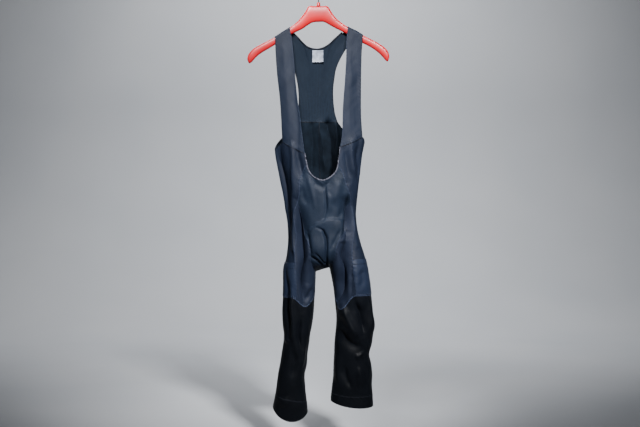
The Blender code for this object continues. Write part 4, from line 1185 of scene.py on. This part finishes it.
def finishes():
    return {
        "side": knit("thermal_warp_knit_navy", "#0B101B", "#1F283B"),
        "front": knit("thermal_warp_knit_slate", "#0D141F", "#202B3D"),
        "thigh": knit("thermal_warp_knit_blue_slate", "#101521", "#262E41"),
        "strap": knit("elastic_warp_knit_slate", "#0E1523", "#1E2739", 0.2, 0.54),
        "pocket": knit("smooth_warp_knit_blue", "#131A29", "#29344B", 0.24, 0.46),
        "leg": knit("thermal_warp_knit_black", "#050609", "#151920", 0.12, 0.46, 0.003),
        "bib": eyelet_mesh("eyelet_mesh_slate", "#04070C", "#1A2534"),
        "nap": brushed_fleece("brushed_nap_of_thermal_knit", "#0E141C", "#161E28"),
        "seam": covered_seam("flatlock_seam_dark", "#04060B", "#0E1422", 2.6),
        # The side seams' thread is lighter as a painted highlight: it stands for light caught along the
        # raised seam.
        "side_seam": covered_seam("flatlock_seam_painted_highlight", "#101623", "#39435C", 2.6),
        "leg_seam": covered_seam("flatlock_seam_black", "#0A0C11", "#2A2F3A", 2.6),
        "grey_stitch": covered_seam("coverstitch_grey_blue", "#121826", "#5A6685", 6),
        "pale_elastic": folded_elastic("pale_folded_elastic", "#2A2B35", "#61626F", 3.6),
        "edge_elastic": folded_elastic("slate_folded_elastic", "#151B28", "#3A445A", 3.6),
        "dark_elastic": folded_elastic("dark_folded_elastic", "#06080F", "#141A28", 3.6),
        "label": woven_satin("woven_satin_label", "#747B8A", "#B2BACB"),
        "hanger": moulded_plastic("moulded_polystyrene_red", "#E00A20", "#C00518"),
        "wire": plated_wire("nickel_plated_steel_wire", "#6E7074", "#9A9CA0"),
        "paper": painted_paper("pale_painted_paper"),
    }


# The cut of each piece: finish, record slot, flat width and length in metres, flat area
CUTS = {
    "front_panel": ("front", "body_knit", 0.175, 0.33, 0.036),
    "gusset": ("thigh", "body_knit", 0.07, 0.15, 0.0056),
    "side_panel": ("side", "body_knit", 0.19, 0.49, 0.043),
    "back_panel": ("side", "body_knit", 0.17, 0.58, 0.067),
    "thigh_front": ("thigh", "body_knit", 0.11, 0.34, 0.018),
    "lower_leg": ("leg", "leg_knit", 0.355, 0.325, 0.091),
    "cuff": ("leg", "leg_knit", 0.32, 0.05, 0.0113),
    "strap": ("strap", "strap_knit", 0.08, 0.405, 0.0206),
    "back_bib": ("bib", "bib_knit", 0.33, 0.31, 0.035),
}
TUBES = ("lower_leg", "cuff")
BOTH_SIDES_ALIKE = ("strap", "back_bib")


def kind_of(name):
    """The name of a piece without its side."""
    return name if name in CUTS else name.rsplit("_", 1)[0]


def cloth_pieces(cloth, finish):
    made = {}
    for name, (points, normals) in cloth.items():
        kind = kind_of(name)
        look, slot = CUTS[kind][:2]
        inside = finish[look if kind in BOTH_SIDES_ALIKE else "nap"]
        piece = add_wall(name + "_cloth", points, normals, kind in TUBES, CLOTH, finish[look], inside)
        made[name] = keep(piece, slot, name)
    return made


def pocket_patch(side, panel, normals):
    """A patch made from the side panel's own points, moved out, a little full in the middle."""
    drops = -panel[:, :, 2].mean(axis=1)
    low, high = np.interp(POCKET_DROPS[side], drops, np.arange(len(drops)))
    rows = np.array([low, *range(math.ceil(low), math.floor(high) + 1), high])
    last = panel.shape[1] - 1
    columns = np.linspace(POCKET_FRONT_EDGE * FINE_COLUMNS, last - POCKET_BACK_COLUMNS * FINE_COLUMNS, 40)
    if side == "left":
        columns = (last - columns)[::-1]
    down = (rows - low) / (high - low)
    across = (columns - columns[0]) / (columns[-1] - columns[0])
    fullness = (np.sin(math.pi * across) * np.sin(math.pi * down)[:, None])[..., None]
    clear = CLOTH / 2 + SEAM_GAP + POCKET_CLOTH / 2
    return between(panel, rows, columns) + between(normals, rows, columns) * (clear + POCKET_EASE * fullness)


def label_patch(bib):
    """A blank patch on the bib's inner face, below the back neck."""
    middle = bib[:, bib.shape[1] // 2]
    clear = CLOTH / 2 + SEAM_GAP + LABEL_CLOTH / 2
    centre = sum(LABEL_EDGES) / 2
    points = []
    for drop in np.linspace(*LABEL_DROPS, 19):
        y = np.interp(drop, -middle[:, 2], middle[:, 1]) - clear
        lift = LABEL_LIFT * ((drop - LABEL_DROPS[0]) / (LABEL_DROPS[1] - LABEL_DROPS[0])) ** 2
        across = np.linspace(*LABEL_EDGES, 19)
        curl = LABEL_CURL * np.clip((across - centre) / (LABEL_EDGES[1] - centre), 0, 1) ** 4
        points.append([
            (x, y - lift - c - LABEL_CURVE * (x - centre) ** 2, -drop) for x, c in zip(across, curl)
        ])
    return np.array(points)


EVERY = slice(None)
ROUND = slice(0, -1)


def edge(piece, rows, columns):
    """The points along one edge of a piece, and the way that the cloth faces there."""
    return [grid[rows, columns] for grid in piece]


def joined(*lines):
    return [np.concatenate(values) for values in zip(*lines)]


def seams(cloth, finish):
    """A covered seam along every edge where two panels meet, standing out on both faces of the cloth."""
    def seam(name, panel, rows, columns, look="seam", slot="body_knit"):
        line = edge(cloth[panel], rows, columns)
        sewn_on(name, "seam", line, finish[look], slot, closed=columns == ROUND)

    thigh = (CROTCH_ROW - HIP_ROW) * FINE_ROWS
    seat, crotch = SEAT_ROW * FINE_ROWS, CROTCH_ROW * FINE_ROWS
    for side in SIDES:
        front, back = (0, -1) if side == "right" else (-1, 0)
        # The side and crotch seams take the lighter thread, a painted highlight on the raised seam.
        seam("side_seam_" + side, "side_panel_" + side, EVERY, front, "side_seam")
        seam("back_side_seam_" + side, "side_panel_" + side, EVERY, back)
        seam("crotch_seam_" + side, "thigh_front_" + side, slice(0, thigh + 1), front, "side_seam")
        seam("inside_leg_seam_" + side, "thigh_front_" + side, slice(thigh, None), front)
        seam("seat_seam_" + side, "back_panel_" + side, slice(seat, crotch + 1), back)
        seam("chest_seam_" + side, "strap_" + side, -1, EVERY)
        seam("knee_seam_" + side, "lower_leg_" + side, 0, ROUND, "grey_stitch")
        seam("cuff_seam_" + side, "cuff_" + side, 0, ROUND, "leg_seam", "leg_knit")
    seam("centre_back_seam", "back_panel_left", slice(0, seat + 1), 0)
    seam("waist_seam", "back_bib", -1, EVERY)


def edges_and_bindings(cloth, finish):
    dark = finish["dark_elastic"], "dark_binding"
    shoulder = round((1 - BIB_SHOULDER) / 2 * BIB_COLUMNS * BIB_FINE_COLUMNS) + BIB_FINE_COLUMNS
    line = edge(cloth["back_bib"], 0, slice(shoulder, -shoulder))
    sewn_on("back_neck_band", "back_neck", line, *dark, "back_neck_binding", opening=BACK_NECK_MIDDLE)
    line = joined(
        edge(cloth["side_panel_left"], 0, slice(-1 - FINE_COLUMNS, -1)),
        edge(cloth["front_panel"], 0, EVERY),
        edge(cloth["side_panel_right"], 0, slice(1, 1 + FINE_COLUMNS)),
    )
    sewn_on("front_neck_band", "front_neck", line, finish["pale_elastic"], "pale_binding",
            "front_neck_binding", opening=FRONT_NECK_MIDDLE)
    for side, column in (("left", -1), ("right", 0)):
        line = edge(cloth["back_bib"], slice(4, None), column)
        sewn_on("bib_edge_" + side, "bib_edge", line, *dark)
    start, end = (1 + STRAP_COLUMNS) * FINE_COLUMNS, SHOULDER_COLUMNS * FINE_COLUMNS
    for side in SIDES:
        inner, outer = (-1, 0) if side == "left" else (0, -1)
        pale = finish["edge_elastic"], "pale_binding"
        for where, column, look in (("inner", inner, pale), ("outer", outer, dark)):
            line = edge(cloth["strap_" + side], slice(3, None), column)
            sewn_on("strap_edge_" + where + "_" + side, "strap_edge", line, *look)
        panel, back = cloth["side_panel_" + side], cloth["back_panel_" + side]
        if side == "right":
            line = joined(edge(panel, 0, slice(start, None)), edge(back, 0, slice(1, end + 1)))
        else:
            line = joined(edge(back, 0, slice(-1 - end, -1)), edge(panel, 0, slice(0, -start)))
        sewn_on("armhole_edge_" + side, "armhole_edge", line, *dark)
        line = edge(cloth["cuff_" + side], -1, ROUND)
        sewn_on("hem_edge_" + side, "hem_edge", line, finish["leg_seam"], "leg_knit", closed=True)


def pockets_and_label(cloth, finish):
    for side in SIDES:
        name = "pocket_" + side
        under = "side_panel_" + side
        points = pocket_patch(side, *cloth[under])
        pocket = points, shared_normals({name: points})[name]
        piece = add_wall(name + "_cloth", *pocket, False, POCKET_CLOTH, finish["pocket"], finish["nap"])
        keep(piece, "pocket_knit", name)
        three_sides = joined(
            edge(pocket, slice(None, None, -1), 0), edge(pocket, 0, slice(1, -1)), edge(pocket, EVERY, -1)
        )
        hem = edge(pocket, round(POCKET_HEM * len(points)), slice(2, -2))
        for where, trim, line, look in (
            # The pocket's edge takes the same lighter thread, a painted highlight on the raised seam.
            ("edge", "pocket_edge", three_sides, "side_seam"),
            ("foot", "pocket_edge", edge(pocket, -1, EVERY), "grey_stitch"),
            ("hem", "pocket_hem", hem, "seam"),
        ):
            sewn_on("pocket_" + where + "_" + side, trim, line, finish[look], "pocket_knit")
    points = label_patch(cloth["back_bib"][0])
    facing = shared_normals({"label": points})["label"]
    label = add_wall("neck_label_cloth", points, facing, False, LABEL_CLOTH, finish["label"])
    keep(label, "label_satin", "neck_label")


def camera_and_light(paper):
    lens = bpy.data.cameras.new("front_camera")
    lens.lens = 52.6
    lens.sensor_width = 36
    camera = bpy.data.objects.new("front_camera", lens)
    camera.location = (0.00465, -2.9, -0.71385)
    camera.rotation_euler = (math.pi / 2, 0, 0)
    bpy.context.scene.collection.objects.link(camera)
    bpy.context.scene.camera = camera
    world = bpy.data.worlds.new("pale_studio")
    world.use_nodes = True
    sky = world.node_tree.nodes["Background"]
    sky.inputs["Color"].default_value = linear("#DDE3EC")
    sky.inputs["Strength"].default_value = 0.035
    bpy.context.scene.world = world
    # Columns: name, place, what it faces, size, power, angle of its beam
    for name, place, aim, size, power, beam in (
        ("key_softbox", (0.85, -2.3, 1.15), (0.02, 0, -0.76), 0.35, 5.2, 27),
        ("top_softbox", (-0.3, -1.2, 0.9), (0.0, 0, -0.1), 0.4, 3.4, 40),
        ("back_softbox", (-0.7, 2.2, 1.0), (0.02, 0, -0.6), 1.0, 5, 60),
        ("backdrop_softbox", (0.0, 1.8, 2.3), (0.0, 3.8, -0.6), 2.4, 70, 110),
    ):
        lamp = bpy.data.lights.new(name, "AREA")
        lamp.size = size
        lamp.energy = power
        lamp.spread = math.radians(beam)
        made = bpy.data.objects.new(name, lamp)
        made.location = place
        made.rotation_euler = (Vector(aim) - Vector(place)).to_track_quat("-Z", "Y").to_euler()
        bpy.context.scene.collection.objects.link(made)
    # One sheet of paper from the floor up behind the garment
    bend = [(BACKDROP[0] + BACKDROP[1] * math.sin(a), FLOOR + BACKDROP[1] * (1 - math.cos(a)))
            for a in np.linspace(0, math.pi / 2, 25)]
    profile = [(-6000, FLOOR), *bend, (BACKDROP[0] + BACKDROP[1], 4000)]
    sheet = np.array([[(x, y, z) for x in (-7000, 7000)] for y, z in profile], float)
    add_mesh("paper", sheet.reshape(-1, 3), grid_faces(len(profile), 2, False), paper)


def main():
    finish = finishes()
    patches = all_patches()
    normals = shared_normals(patches)
    patches = {name: creased(points, normals[name]) for name, points in patches.items()}
    normals = shared_normals(patches)
    cloth = {name: (points, normals[name]) for name, points in patches.items()}
    pieces = cloth_pieces(cloth, finish)
    seams(cloth, finish)
    edges_and_bindings(cloth, finish)
    pockets_and_label(cloth, finish)
    keep(hanger_moulding(finish["hanger"]), "hanger_plastic", "hanger")
    keep(hook_socket(finish["hanger"]), "hanger_plastic", "hook_collar")
    keep(wire_hook(finish["wire"]), "hook_steel", "hook")
    camera_and_light(finish["paper"])


main()
